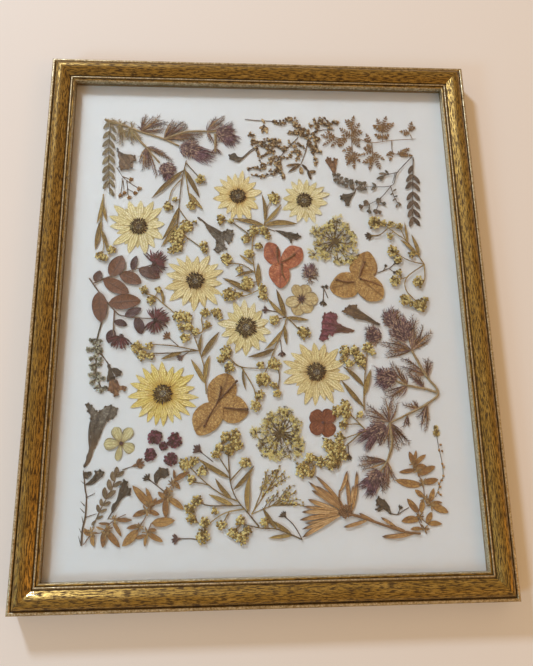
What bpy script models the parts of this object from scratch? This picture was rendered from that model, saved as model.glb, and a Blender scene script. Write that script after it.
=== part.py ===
"""Pressed flower frame: dried flowers and leaves glued to a white sheet under glass, in a gilt moulding.

The frame lies on its back. +X is the picture's right, +Y its top, +Z comes out of its face, and the
origin is the middle of the back. Sizes are in millimetres until MM turns them into metres.
"""
from math import atan2, cos, hypot, pi, radians, sin

import bmesh
import bpy
from mathutils import Vector
from mathutils.geometry import delaunay_2d_cdt

MM = 0.001

# Driving dimensions: a standard 16 x 20 inch picture
SHEET_WIDTH = 406
SHEET_HEIGHT = 508
SHEET_PLAY = 1                 # between the sheet's edge and the rabbet's wall
FACE_WIDTH = 25                # of the moulding
RABBET = 6                     # how far the lip reaches over the sheet
FIT = 0.3                      # gap between pieces that touch

# Heights in the rabbet, from the back of the frame up
BACKING_Z = 5.5
BACKING_THICK = 3.0
SHEET_THICK = 1.4
AIR = 3.0                      # room for the flowers between sheet and glass
GLASS_THICK = 2.0
SHEET_Z = BACKING_Z + BACKING_THICK + FIT
SHEET_TOP = SHEET_Z + SHEET_THICK
GLASS_Z = SHEET_TOP + AIR
LIP_Z = GLASS_Z + GLASS_THICK + FIT

# Heights of the moulding's face
SIDE_Z = 21.3                  # where the outer side meets the outer bead
BEAD_RISE = 1.7
GROOVE_Z = 20.9
BAND_EDGE_Z = 22.2
BAND_CREST_Z = 26.5
BAND_INNER_Z = 22.6
SIGHT_Z = 18.5

OUTER_WIDTH = SHEET_WIDTH + 2 * (SHEET_PLAY + FACE_WIDTH - RABBET)
OUTER_HEIGHT = SHEET_HEIGHT + 2 * (SHEET_PLAY + FACE_WIDTH - RABBET)

# The pressed layer: three levels, so that crossing specimens pass over each other
LEAF_THICK = 0.6
LEVEL = LEAF_THICK + FIT
STEM = 1.6                     # width of an ordinary flattened stem
TWIG = 1.1
REACH_TO_STEM = 6              # a side stem's end this near a stem grows out of it
CLEAR_OF_STEM = 0.6            # a blob whose middle is this many radii off its stem has a stalk
SMALLEST_STEP = 0.7            # a corner of an outline this near the line past it is left out
SMALLEST_BEND = radians(22)    # corners of an outline that bend less are smoothed away

COLOURS = {                    # base colour, roughness, metallic
    "moulding": ((0.30, 0.18, 0.06), 0.35, 0.4),
    "glass": ((0.85, 0.92, 0.90), 0.02, 0.0),
    "foam_board": ((0.85, 0.85, 0.82), 0.8, 0.0),
    "mount_paper": ((0.72, 0.70, 0.66), 0.85, 0.0),
    "fibreboard": ((0.24, 0.15, 0.08), 0.75, 0.0),
    "steel": ((0.55, 0.55, 0.56), 0.35, 1.0),
    "sea_holly": ((0.16, 0.09, 0.09), 0.8, 0.0),
    "daisy": ((0.80, 0.68, 0.30), 0.7, 0.0),
    "bract_red": ((0.55, 0.14, 0.05), 0.65, 0.0),
    "bract_tan": ((0.48, 0.25, 0.08), 0.65, 0.0),
    "umbel": ((0.32, 0.28, 0.11), 0.8, 0.0),
    "golden_spray": ((0.36, 0.26, 0.08), 0.75, 0.0),
    "purple_leaf": ((0.18, 0.07, 0.04), 0.6, 0.0),
    "olive_leaf": ((0.20, 0.15, 0.06), 0.65, 0.0),
    "dark_leaf": ((0.09, 0.05, 0.05), 0.65, 0.0),
    "heather": ((0.20, 0.12, 0.05), 0.85, 0.0),
    "fern": ((0.24, 0.14, 0.05), 0.7, 0.0),
    "salvia": ((0.08, 0.06, 0.05), 0.75, 0.0),
    "lavender": ((0.16, 0.15, 0.11), 0.8, 0.0),
    "trumpet": ((0.13, 0.08, 0.05), 0.65, 0.0),
    "magenta": ((0.20, 0.04, 0.06), 0.6, 0.0),
    "pale_petal": ((0.62, 0.50, 0.25), 0.65, 0.0),
    "hydrangea": ((0.26, 0.07, 0.03), 0.6, 0.0),
    "russet_leaf": ((0.45, 0.22, 0.07), 0.65, 0.0),
}


# -------------------------------------------- scene, materials and objects

for old in list(bpy.data.objects):
    bpy.data.objects.remove(old)

frame_collection = bpy.data.collections.new("pressed_flower_frame")
bpy.context.scene.collection.children.link(frame_collection)


def material(name):
    """The Principled material of one finish, made when it is first asked for."""
    if name in bpy.data.materials:
        return bpy.data.materials[name]
    colour, roughness, metallic = COLOURS[name]
    finish = bpy.data.materials.new(name)
    finish.use_nodes = True
    shader = finish.node_tree.nodes["Principled BSDF"]
    shader.inputs["Base Color"].default_value = (*colour, 1)
    shader.inputs["Roughness"].default_value = roughness
    shader.inputs["Metallic"].default_value = metallic
    if name == "glass":
        shader.inputs["Transmission Weight"].default_value = 1.0
    finish.diffuse_color = (*colour, 1)
    return finish


def add_object(name, bm, finish):
    """A finished bmesh, in millimetres, as a named object in metres."""
    bmesh.ops.recalc_face_normals(bm, faces=bm.faces)
    if bm.calc_volume(signed=True) < 0:
        bmesh.ops.reverse_faces(bm, faces=bm.faces)
    bmesh.ops.scale(bm, vec=(MM, MM, MM), verts=bm.verts)
    mesh = bpy.data.meshes.new(name)
    bm.to_mesh(mesh)
    bm.free()
    mesh.materials.append(material(finish))
    piece = bpy.data.objects.new(name, mesh)
    frame_collection.objects.link(piece)
    return piece


def thicken(bm, faces, height):
    """Draw flat faces upward into a closed solid, and return its top faces."""
    lifted = bmesh.ops.extrude_face_region(bm, geom=faces, use_keep_orig=True)["geom"]
    rims = [v for v in lifted if isinstance(v, bmesh.types.BMVert)]
    bmesh.ops.translate(bm, vec=(0, 0, height), verts=rims)
    return [f for f in lifted if isinstance(f, bmesh.types.BMFace)]


def plate(name, outline, low, thick, finish):
    """A flat piece of sheet material with the given outline."""
    bm = bmesh.new()
    face = bm.faces.new([bm.verts.new((x, y, low)) for x, y in outline])
    thicken(bm, [face], thick)
    return add_object(name, bm, finish)


def slab(name, width, height, low, thick, finish):
    """A flat rectangular layer, centred on the frame."""
    bm = bmesh.new()
    bmesh.ops.create_cube(bm, size=1)
    bmesh.ops.scale(bm, vec=(width, height, thick), verts=bm.verts)
    bmesh.ops.translate(bm, vec=(0, 0, low + thick / 2), verts=bm.verts)
    return add_object(name, bm, finish)


# -------------------------------------------- the moulding

def half_ellipse(start, end, base, rise, steps, first=0.0, last=pi):
    """Points over a rounded bead from start to end, inward from the outer edge; rise is its height."""
    middle, half = (start + end) / 2, (end - start) / 2
    angles = [first + (last - first) * i / steps for i in range(steps + 1)]
    return [(middle - half * cos(a), base + rise * sin(a)) for a in angles]


def moulding_profile():
    """Section of the rail: distance inward from the outer edge, and height above the back."""
    crest, band_start, band_end = 10.0, 4.4, 18.6
    rise = BAND_CREST_Z - BAND_EDGE_Z
    outer_band = half_ellipse(band_start, 2 * crest - band_start, BAND_EDGE_Z, rise, 3, last=pi / 2)
    fall = BAND_CREST_Z - BAND_INNER_Z
    inner_steps = 4
    inner_band = [(crest + (band_end - crest) * i / inner_steps,
                   BAND_INNER_Z + fall * cos(pi / 2 * i / inner_steps)) for i in range(1, inner_steps + 1)]
    face = [(0, 0), *half_ellipse(0, 3.4, SIDE_Z, BEAD_RISE, 4), (3.4, GROOVE_Z), (band_start, GROOVE_Z)]
    face += outer_band + inner_band
    face += [(19.6, 22.0), (19.8, GROOVE_Z), *half_ellipse(20.6, 22.4, GROOVE_Z, 1.1, 3)]
    face += [(22.6, 20.4), (23.1, 20.7), (24.4, 20.1), (FACE_WIDTH, SIGHT_Z), (FACE_WIDTH, LIP_Z)]
    return face + [(FACE_WIDTH - RABBET, LIP_Z), (FACE_WIDTH - RABBET, 0)]


def rail(name, length, turn, half_span):
    """One length of moulding: the section drawn out, then sawn to a mitre at both ends."""
    bm = bmesh.new()
    section = [bm.verts.new((-length, s - half_span, z)) for s, z in moulding_profile()]
    end = bm.faces.new(section)
    drawn = bmesh.ops.extrude_face_region(bm, geom=[end])["geom"]
    far_end = [v for v in drawn if isinstance(v, bmesh.types.BMVert)]
    bmesh.ops.translate(bm, vec=(2 * length, 0, 0), verts=far_end)
    for side in (-1, 1):
        corner = (side * (length / 2 - FIT / 2), -half_span, 0)
        every = bm.verts[:] + bm.edges[:] + bm.faces[:]
        cut = bmesh.ops.bisect_plane(bm, geom=every, plane_co=corner, plane_no=(side, 1, 0),
                                     clear_outer=True)
        rim = [e for e in cut["geom_cut"] if isinstance(e, bmesh.types.BMEdge)]
        bmesh.ops.edgenet_fill(bm, edges=rim)
    quarter = {0: ((1, 0), (0, 1)), 1: ((0, -1), (1, 0)), 2: ((-1, 0), (0, -1)), 3: ((0, 1),
                                                                                     (-1, 0))}[turn]
    for v in bm.verts:
        (xx, xy), (yx, yy) = quarter
        v.co = Vector((v.co.x * xx + v.co.y * xy, v.co.x * yx + v.co.y * yy, v.co.z))
    return add_object(name, bm, "moulding")


rail("rail_bottom", OUTER_WIDTH, 0, OUTER_HEIGHT / 2)
rail("rail_left", OUTER_HEIGHT, 1, OUTER_WIDTH / 2)
rail("rail_top", OUTER_WIDTH, 2, OUTER_HEIGHT / 2)
rail("rail_right", OUTER_HEIGHT, 3, OUTER_WIDTH / 2)


# -------------------------------------------- what lies in the rabbet

slab("glass_pane", SHEET_WIDTH, SHEET_HEIGHT, GLASS_Z, GLASS_THICK, "glass")
slab("mount_sheet", SHEET_WIDTH, SHEET_HEIGHT, SHEET_Z, SHEET_THICK, "mount_paper")
slab("backing_board", SHEET_WIDTH, SHEET_HEIGHT, BACKING_Z, BACKING_THICK, "fibreboard")


def spacer_ring():
    """A ring of foam board hidden under the lip, which holds the glass off the flowers."""
    width = RABBET - 1.5
    bm = bmesh.new()
    outline = [(-SHEET_WIDTH / 2, -SHEET_HEIGHT / 2), (SHEET_WIDTH / 2, -SHEET_HEIGHT / 2),
               (SHEET_WIDTH / 2, SHEET_HEIGHT / 2), (-SHEET_WIDTH / 2, SHEET_HEIGHT / 2)]
    face = bm.faces.new([bm.verts.new((x, y, SHEET_TOP + FIT)) for x, y in outline])
    face.normal_update()
    bmesh.ops.inset_region(bm, faces=[face], thickness=width, use_boundary=True, use_even_offset=True)
    bmesh.ops.delete(bm, geom=[face], context="FACES")
    thicken(bm, bm.faces[:], AIR - 2 * FIT)
    return add_object("spacer_ring", bm, "foam_board")


spacer_ring()


def flexi_points():
    """Six flat steel points along the rabbet that hold the backing board in."""
    length, width, thick, nose = 16, 6, 0.5, 4
    half_x = OUTER_WIDTH / 2 - FACE_WIDTH + RABBET - FIT
    half_y = OUTER_HEIGHT / 2 - FACE_WIDTH + RABBET - FIT
    side_y = 130
    places = [(-half_x, side_y, 0), (-half_x, -side_y, 0), (half_x, side_y, pi), (half_x, -side_y, pi),
              (0, half_y, -pi / 2), (0, -half_y, pi / 2)]
    point = [(0, -width / 2), (length - nose, -width / 2), (length, -1), (length, 1),
             (length - nose, width / 2), (0, width / 2)]
    for number, (x, y, turn) in enumerate(places, 1):
        outline = [(x + a * cos(turn) - b * sin(turn), y + a * sin(turn) + b * cos(turn)) for a, b in point]
        plate(f"tab_{number}", outline, BACKING_Z - FIT - thick, thick, "steel")


flexi_points()


def hanger():
    """A pressed steel saw-tooth hanger, riveted to the backing board below the top rail."""
    half_length, ear, thick, teeth, drop = 24, 5, 1.0, 9, 1.5
    centre_y = 205
    pitch = 2 * (half_length - 2 * ear) / teeth
    start = -half_length + 2 * ear
    outline = [(-half_length, centre_y - ear), (start, centre_y - ear)]
    for tooth in range(teeth):
        outline += [(start + pitch * (tooth + 0.5), centre_y + ear / 2 - drop),
                    (start + pitch * (tooth + 1), centre_y - ear / 2 - drop)]
    outline[-1] = (-start, centre_y - ear)
    outline += [(half_length, centre_y - ear), (half_length, centre_y + ear),
                (-half_length, centre_y + ear)]
    plate("hanger", outline, BACKING_Z - FIT - thick, thick, "steel")


hanger()


# -------------------------------------------- outlines of pressed plant parts

def disc(x, y, radius, sides=5, turn=0.0):
    """A rounded blob: a bud cluster, a floret or the eye of a daisy."""
    return [(x + radius * cos(turn + 2 * pi * i / sides), y + radius * sin(turn + 2 * pi * i / sides))
            for i in range(sides)]


def oval(x, y, across, along, sides=10):
    """An upright ellipse by its two half widths."""
    return [(x + across * cos(2 * pi * i / sides), y + along * sin(2 * pi * i / sides)) for i in range(sides)]


def blade(base, tip, width):
    """A leaf or petal from base to tip: a lens when it is broad, a spear when it is narrow."""
    (x0, y0), (x1, y1) = base, tip
    along_x, along_y = x1 - x0, y1 - y0
    length = hypot(along_x, along_y)
    side_x, side_y = -along_y / length * width / 2, along_x / length * width / 2
    stations = ((0.45, 1.0),) if width < 7 else ((0.28, 0.86), (0.68, 0.9))
    left = [(x0 + along_x * t + side_x * k, y0 + along_y * t + side_y * k) for t, k in stations]
    right = [(x0 + along_x * t - side_x * k, y0 + along_y * t - side_y * k) for t, k in reversed(stations)]
    return [base, *left, tip, *right]


def ribbon(points, width=STEM):
    """A stem through the given points, of one width, squared at its ends."""
    left, right = [], []
    for i, (x, y) in enumerate(points):
        (ax, ay), (bx, by) = points[max(i - 1, 0)], points[min(i + 1, len(points) - 1)]
        length = hypot(bx - ax, by - ay)
        side_x, side_y = -(by - ay) / length * width / 2, (bx - ax) / length * width / 2
        left.append((x + side_x, y + side_y))
        right.append((x - side_x, y - side_y))
    return left + right[::-1]


def star(x, y, inner, outer, rays, turn=0.0):
    """A spiky head: rays reach outer, and the notches between them reach inner."""
    return [(x + r * cos(turn + pi * i / rays), y + r * sin(turn + pi * i / rays))
            for i in range(2 * rays) for r in [outer if i % 2 == 0 else inner]]


def nearest_on(paths, point):
    """The nearest point of any of the stems, and its distance."""
    best, gap = point, float("inf")
    for path in paths:
        for (ax, ay), (bx, by) in zip(path, path[1:]):
            run_x, run_y = bx - ax, by - ay
            along = ((point[0] - ax) * run_x + (point[1] - ay) * run_y) / (run_x ** 2 + run_y ** 2)
            along = min(max(along, 0), 1)
            foot = (ax + along * run_x, ay + along * run_y)
            distance = hypot(point[0] - foot[0], point[1] - foot[1])
            if distance < gap:
                best, gap = foot, distance
    return best, gap


def branching(paths):
    """Stems whose ends, where they come near an earlier stem, grow out of it."""
    grown = [paths[0]]
    for path in paths[1:]:
        ends = []
        for end in (path[0], path[-1]):
            foot, gap = nearest_on(grown, end)
            ends.append(foot if gap < REACH_TO_STEM else end)
        grown.append([ends[0], *path[1:-1], ends[1]])
    return grown


def sprig(stems, leaves=(), buds=(), width=STEM):
    """A branching plant: stems, leaves that grow out of the nearest stem, and blobs of buds.

    A leaf is written as base x, base y, tip x, tip y, width; a blob as x, y, radius.
    """
    stems = branching(stems)
    outlines = [ribbon(path, width) for path in stems]
    for x0, y0, x1, y1, across in leaves:
        foot, _ = nearest_on(stems, (x0, y0))
        outlines.append(blade(foot, (x1, y1), across))
    for x, y, radius in buds:
        foot, gap = nearest_on(stems, (x, y))
        if gap > radius * CLEAR_OF_STEM:
            outlines.append(ribbon([foot, (x, y)], width))
        outlines.append(disc(x, y, radius, turn=x + y))
    return outlines


def anticlockwise(outline):
    """The outline, turned round if it runs clockwise."""
    turning = sum(x0 * y1 - x1 * y0 for (x0, y0), (x1, y1) in zip(outline, outline[1:] + outline[:1]))
    return outline if turning > 0 else outline[::-1]


def press(name, finish, shapes, level=0, domes=()):
    """Fuse flat outlines into one pressed solid; domes are outlines whose ground is raised by a height."""
    outlines = [anticlockwise(shape) for shape in shapes] + [anticlockwise(outline) for outline, _ in domes]
    points, faces = [], []
    for outline in outlines:
        faces.append(list(range(len(points), len(points) + len(outline))))
        points += [Vector(point) for point in outline]
    flat, _, triangles, _, _, sources = delaunay_2d_cdt(points, [], faces, 1, 0.05, True)
    low = SHEET_TOP + FIT + level * LEVEL
    bm = bmesh.new()
    tags = bm.faces.layers.int.new("dome")
    corners = [bm.verts.new((p.x, p.y, low)) for p in flat]
    for triangle, source in zip(triangles, sources):
        if source:
            face = bm.faces.new([corners[i] for i in triangle])
            face[tags] = max(0, max(source) - len(shapes) + 1)
    bmesh.ops.delete(bm, geom=[v for v in bm.verts if not v.link_faces], context="VERTS")
    for edge in bm.edges:
        edge.seam = len({face[tags] for face in edge.link_faces}) > 1
    bmesh.ops.dissolve_limit(bm, angle_limit=SMALLEST_BEND, use_dissolve_boundaries=False,
                             verts=bm.verts, edges=bm.edges, delimit={"SEAM"})
    for corner in list(bm.verts):
        if len(corner.link_edges) == 2:
            before, after = (edge.other_vert(corner).co for edge in corner.link_edges)
            chord = after - before
            if (corner.co - before).cross(chord).length < SMALLEST_STEP * chord.length:
                bmesh.ops.dissolve_verts(bm, verts=[corner])
    top = thicken(bm, bm.faces[:], LEAF_THICK)
    for number, (_, height) in enumerate(domes, 1):
        crown = [f for f in top if f.is_valid and f[tags] == number]
        grown = bmesh.ops.extrude_face_region(bm, geom=crown)["geom"]
        rim = [v for v in grown if isinstance(v, bmesh.types.BMVert)]
        bmesh.ops.delete(bm, geom=crown, context="FACES")
        centre = sum((v.co for v in rim), Vector()) / len(rim)
        for v in rim:
            v.co = centre + (v.co - centre) * 0.7 + Vector((0, 0, height))
    return add_object(name, bm, finish)


# -------------------------------------------- daisies

DAISIES = {   # centre, eye radius, level, petal tips
    "daisy_1": ((-127, 86), 8.0, 0,
                [(-126, 115), (-113, 114), (-104, 107), (-101, 89), (-102, 73), (-110, 63), (-119, 56),
                 (-136, 57), (-152, 66), (-156, 86), (-157, 97), (-153, 109), (-138, 114)]),
    "daisy_2": ((-26, 121), 7.5, 0,
                [(-21, 151), (-29, 147), (-37, 145), (-45, 140), (-51, 131), (-52, 118), (-47, 107),
                 (-38, 101),
                 (-33, 95), (-24, 93), (-13, 94), (-5, 107), (-1, 127), (-7, 137), (-14, 144)]),
    "daisy_3": ((43, 117), 7.5, 0,
                [(30, 139), (38, 142), (47, 141), (57, 138), (65, 133), (71, 125), (68, 114), (61, 101),
                 (54, 91), (45, 92), (35, 92), (27, 98), (20, 106), (21, 119), (24, 130)]),
    "daisy_4": ((-69, 28), 8.0, 0,
                [(-78, 55), (-67, 54), (-55, 55), (-46, 46), (-41, 39), (-42, 25), (-43, 14), (-47, 3),
                 (-59, 0), (-70, -4), (-81, 2), (-94, 7), (-99, 20), (-98, 35), (-96, 46), (-88, 52)]),
    "daisy_5": ((-18.5, -20), 9.5, 0,
                [(-31, 6), (-20, 9), (-10, 5), (-3, -3), (4, -13), (6, -26), (1, -35), (-6, -43),
                 (-19, -49), (-29, -46), (-38, -38), (-43, -29), (-47, -16), (-37, -5)]),
    "daisy_6": ((-98, -85), 8.5, 0,
                [(-100, -54), (-110, -56), (-118, -60), (-124, -67), (-129, -75), (-131, -88),
                 (-128, -98),
                 (-120, -107), (-112, -112), (-104, -115), (-97, -116), (-88, -113), (-80, -110),
                 (-72, -106),
                 (-66, -98), (-64, -89), (-68, -79), (-69, -67), (-79, -60), (-89, -59)]),
    "daisy_7": ((49.5, -65), 8.5, 0,
                [(34, -37), (48, -36), (59, -37), (72, -42), (77, -56), (82, -71), (76, -85), (65, -96),
                 (57, -93), (47, -98), (37, -97), (30, -87), (17, -76), (17, -65), (17, -54), (25, -46)]),
}

EYE_RISE = 1.3
EYE_SIDES = 9
NOTCH = 0.66                   # where neighbouring petals part, as a share of their reach


def daisy(name, centre, eye, level, tips):
    """Petals that touch their neighbours for two thirds of their length, then taper, round a raised eye."""
    x, y = centre
    tips = sorted(tips, key=lambda tip: atan2(tip[1] - y, tip[0] - x))
    outline = []
    for tip, following in zip(tips, tips[1:] + tips[:1]):
        near, far = Vector(tip) - Vector((x, y)), Vector(following) - Vector((x, y))
        bisector = near.normalized() + far.normalized()
        notch = bisector.normalized() * min(near.length, far.length) * NOTCH
        outline += [tip, (x + notch.x, y + notch.y)]
    press(name, "daisy", [outline], level, domes=[(disc(x, y, eye, EYE_SIDES), EYE_RISE)])


for daisy_name, (daisy_centre, eye_radius, daisy_level, petal_tips) in DAISIES.items():
    daisy(daisy_name, daisy_centre, eye_radius, daisy_level, petal_tips)


# -------------------------------------------- golden everlasting sprays

SPRAYS = {    # level, stems, leaves, bud clusters
    "golden_spray_left_edge": (
        1,
        [[(-164, 121), (-165, 100), (-164, 82), (-161, 66), (-162, 54)], [(-160, 70), (-153, 61)]],
        [(-165, 92, -169, 60, 5)],
        [(-163, 53, 5), (-153, 60, 5)]),
    "golden_spray_upper_left": (
        1,
        [[(-80, 161), (-84, 140), (-86, 120), (-88, 84)], [(-79, 158), (-66, 141)],
         [(-80, 152), (-77, 122), (-74, 110)], [(-83, 140), (-94, 127), (-98, 110)],
         [(-87, 106), (-77, 92), (-69, 91)], [(-83, 78), (-66, 65)]],
        [(-82, 150, -115, 117, 5), (-80, 150, -66, 119, 5), (-78, 124, -62, 105, 5),
         (-87, 108, -103, 71, 4.5),
         (-88, 90, -104, 63, 4)],
        [(-65, 139, 6), (-74, 109, 5.5), (-98, 108, 6), (-79, 85, 8), (-87, 76, 8), (-90, 64, 7),
         (-61, 63, 5.5)]),
    "golden_spray_centre": (
        1,
        [[(1, 88), (3, 103), (8, 117)], [(1, 88), (-9, 80), (-12, 62), (-10, 42), (-6, 22), (3, 6)],
         [(-44, 92), (-34, 92), (-14, 77), (-9.5, 70)], [(-38, 46), (-22, 45), (-11, 36)], [(-33, 14),
                                                                                            (-20, 12),
                                                                                            (-6, 18)]],
        [(1, 88, -31, 95, 5), (0, 92, -1, 123, 4), (2, 90, 19, 112, 4), (3, 88, 35, 90, 6),
         (-6, 22, -6, 47, 5), (-16, 23, -42, 31, 5)],
        [(11, 119, 7.5), (-9, 82, 7), (3, 76, 5), (-18, 73, 6), (-15, 57, 5.5), (-38, 51, 7),
         (-35, 13, 8.5), (-17, 25, 8), (-2, 16, 6), (-44, 95, 5)]),
    "golden_spray_right": (
        2,
        [[(165, 46), (158, 58), (148, 72), (138, 80), (124, 91)], [(165, 46), (150, 50), (136, 58)],
         [(165, 46), (146, 32), (144, 18), (156, 4)], [(165, 46), (164, 30), (160, 24)], [(148, 72),
                                                                                          (142, 88)],
         [(142, 76), (131, 78)], [(110, 77), (120, 78), (130, 86)], [(147, 32), (134, 28)]],
        [(161, 54, 154, 79, 4), (158, 54, 142, 73, 4)],
        [(117, 92, 8), (132, 89, 5), (133, 60, 7), (138, 51, 5), (133, 28, 6.5), (157, 27, 6.5),
         (142, 9, 7), (157, 3, 8)]),
    "golden_spray_left": (
        1,
        [[(-57, -86), (-59, -62), (-64, -44), (-70, -28), (-80, -12)], [(-64, -44), (-88, -39),
                                                                        (-112, -37)],
         [(-66, -45), (-95, -46), (-120, -46)], [(-70, -28), (-61, -24), (-62, -10), (-52, -5)],
         [(-117, 14), (-108, 11), (-100, 4), (-86, -8)]],
        [(-60, -50, -45, -25, 5), (-57, -74, -54, -48, 4.5), (-58, -76, -72, -52, 4.5),
         (-80, -45, -101, -52, 4)],
        [(-119, 17, 6), (-112, 8, 5), (-81, -9, 8), (-80, -20, 6), (-69, -24, 5), (-78, -31, 5.5),
         (-60, -5, 5),
         (-48, -6, 7), (-123, -43, 8), (-111, -40, 5)]),
    "golden_spray_middle": (
        1,
        [[(22, -10), (18, -22), (10, -40), (3, -58), (-3, -70)], [(22, -10), (8, -13)], [(22, -10),
                                                                                         (38, -27)],
         [(-34, -52), (-23, -60), (2, -62)], [(-24, -60), (-12, -80), (-9, -96)], [(8, -56), (13, -66),
                                                                                   (11, -86)]],
        [(20, -8, 12, 19, 5), (22, -9, 3, 10, 4), (22, -10, 44, -13, 4), (17, -22, -1, -43, 4),
         (9, -42, -17, -50, 4.5)],
        [(9, -13, 6), (38, -26, 7.5), (8, -57, 7), (-3, -72, 8), (9, -84, 5.5), (-39, -46, 8),
         (-35, -60, 6.5),
         (-6, -86, 5.5), (-10, -97, 6)]),
    "golden_spray_by_daisy": (
        1,
        [[(94, -103), (95, -84), (98, -60), (101, -42)], [(97, -64), (85, -46)]],
        [(95, -90, 103, -63, 5), (94, -100, 73, -73, 4.5), (95, -80, 76, -60, 4.5)],
        [(79, -46, 7), (91, -49, 8), (102, -42, 6.5)]),
    "golden_spray_lower_right": (
        1,
        [[(95, -122), (82, -108), (70, -100)], [(96, -119), (88, -116), (76, -116)],
         [(92, -127), (74, -129)], [(91, -127), (75, -136), (60, -146), (35, -157)]],
        [(71, -136, 52, -128, 4), (71, -146, 66, -158, 4)],
        [(70, -102, 8), (77, -105, 5.5), (73, -116, 5), (69, -128, 5.5), (60, -136, 7), (70, -141, 8),
         (61, -151, 7), (47, -149, 7), (34, -157, 8)]),
    "golden_spray_bottom": (
        1,
        [[(-8, -207), (-18, -195), (-28, -183), (-34, -168), (-36, -144)],
         [(-28, -186), (-42, -178), (-56, -168), (-74, -151)], [(-35, -160), (-47, -141)],
         [(-33, -166), (-20, -151)], [(-26, -190), (-52, -188), (-64, -184)],
         [(-22, -192), (-40, -195), (-57, -206)], [(31, -219), (10, -210), (-8, -208), (-24, -204)],
         [(-72, -166), (-54, -170)], [(-35, -196), (-42, -205)]],
        [(-36, -164, -64, -146, 4.5), (-33, -182, -48, -164, 4), (-31, -186, -54, -178, 4.5),
         (-18, -195, -16, -161, 5), (-30, -174, -12, -153, 4), (8, -208, -5, -190, 4),
         (22, -215, 4, -202, 4)],
        [(-76, -151, 7), (-66, -150, 5.5), (-60, -158, 5.5), (-46, -139, 7), (-38, -126, 6),
         (-29, -126, 6), (-31, -137, 8), (-20, -150, 6.5), (-66, -185, 7), (-70, -196, 7),
         (-57, -202, 5.5), (-59, -214, 7), (-42, -205, 5), (-26, -202, 6), (-31, -212, 7), (-21, -214, 7),
         (-3, -204, 5)]),
}

for spray_name, (spray_level, spray_stems, spray_leaves, spray_buds) in SPRAYS.items():
    press(spray_name, "golden_spray", sprig(spray_stems, spray_leaves, spray_buds), spray_level)


# -------------------------------------------- bougainvillea: three papery bracts each

press("bougainvillea_red", "bract_red", [
    [(16, 46), (7, 46), (1, 52), (0, 60), (3, 69), (12, 68), (16, 62), (17, 54)],
    [(16, 46), (19, 57), (24, 64), (30, 66), (39, 63), (40, 53), (36, 46), (30, 42), (21, 41)],
    [(18, 50), (10, 46), (5, 40), (6, 31), (16, 20), (24, 27), (26, 36), (24, 43)]], 0)
press("bougainvillea_tan_right", "bract_tan", [
    [(97, 30), (88, 38), (88, 46), (93, 54), (100, 58), (108, 60), (114, 52), (116, 42), (112, 33)],
    [(98, 31), (88, 37), (80, 37), (73, 33), (66, 21), (72, 13), (82, 10), (92, 13), (96, 22)],
    [(95, 32), (93, 20), (98, 11), (107, 6), (119, 9), (121, 20), (117, 28), (110, 33)]], 0)
press("bougainvillea_tan_left", "bract_tan", [
    [(-46, -99), (-54, -95), (-56, -82), (-53, -74), (-46, -68), (-38, -66), (-31, -70), (-28, -80),
     (-30, -90),
     (-36, -96)],
    [(-47, -98), (-38, -90), (-28, -88), (-20, -94), (-17, -103), (-22, -110), (-31, -114), (-41, -110)],
    [(-43, -97), (-56, -94), (-66, -100), (-70, -110), (-65, -124), (-54, -123), (-45, -116),
     (-41, -107)]], 0)


# -------------------------------------------- lace umbels

def umbel(name, x, y, radius, turn, level):
    """A flat umbel: a ring of small umbels round a full middle, on one stalk seen from above."""
    ring = 10
    around = [disc(x + 0.78 * radius * cos(turn + 2 * pi * i / ring),
                   y + 0.78 * radius * sin(turn + 2 * pi * i / ring),
                   0.24 * radius, turn=turn + 2 * pi * i / ring) for i in range(ring)]
    press(name, "umbel", [disc(x, y, 0.68 * radius, ring, turn), *around], level)


umbel("lace_umbel_upper", 73, 71, 30, 0.2, 1)
umbel("lace_umbel_lower", 13, -124, 28, 0.5, 0)


# -------------------------------------------- sea holly: spiny collars round domed heads

press("sea_holly_left", "sea_holly", sprig(
    [[(-150, 205), (-128, 196), (-104, 187), (-86, 178)], [(-133, 191), (-121, 176), (-112, 164),
                                                           (-104, 154)],
     [(-104, 187), (-88, 193), (-60, 198)], [(-60, 198), (-49, 192), (-46, 166)]],
    [(-128, 196, -123, 217, 4), (-127, 197, -108, 218, 5), (-122, 196, -100, 206, 6),
     (-104, 187, -94, 211, 5), (-104, 187, -80, 210, 7), (-100, 188, -64, 190, 5),
     (-120, 172, -130, 158, 4), (-120, 172, -124, 147, 6), (-118, 172, -96, 168, 6),
     (-116, 170, -93, 159, 5),
     (-59, 196, -51, 214, 5), (-57, 198, -39, 217, 5), (-54, 196, -29, 207, 6)], width=3) + [
        [(-168, 210), (-157, 211), (-147, 207), (-130, 197), (-130, 184), (-136, 178), (-139, 186),
         (-147, 173), (-150, 189), (-153, 181), (-159, 191), (-161, 203)],
        [(-68, 188), (-60, 176), (-46, 174), (-44, 162), (-53, 152), (-68, 167)],
        [(-50, 201), (-33, 201), (-21, 190), (-22, 182), (-28, 175), (-38, 180), (-49, 186)],
        [(-112, 158), (-113, 133), (-101, 138), (-91, 131), (-90, 152), (-102, 160)]],
      0, [(oval(-77, 178, 13, 11), 1.6), (disc(-39, 190, 8, 7), 1.6), (disc(-102, 149, 7.5, 7), 1.6)])

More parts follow.
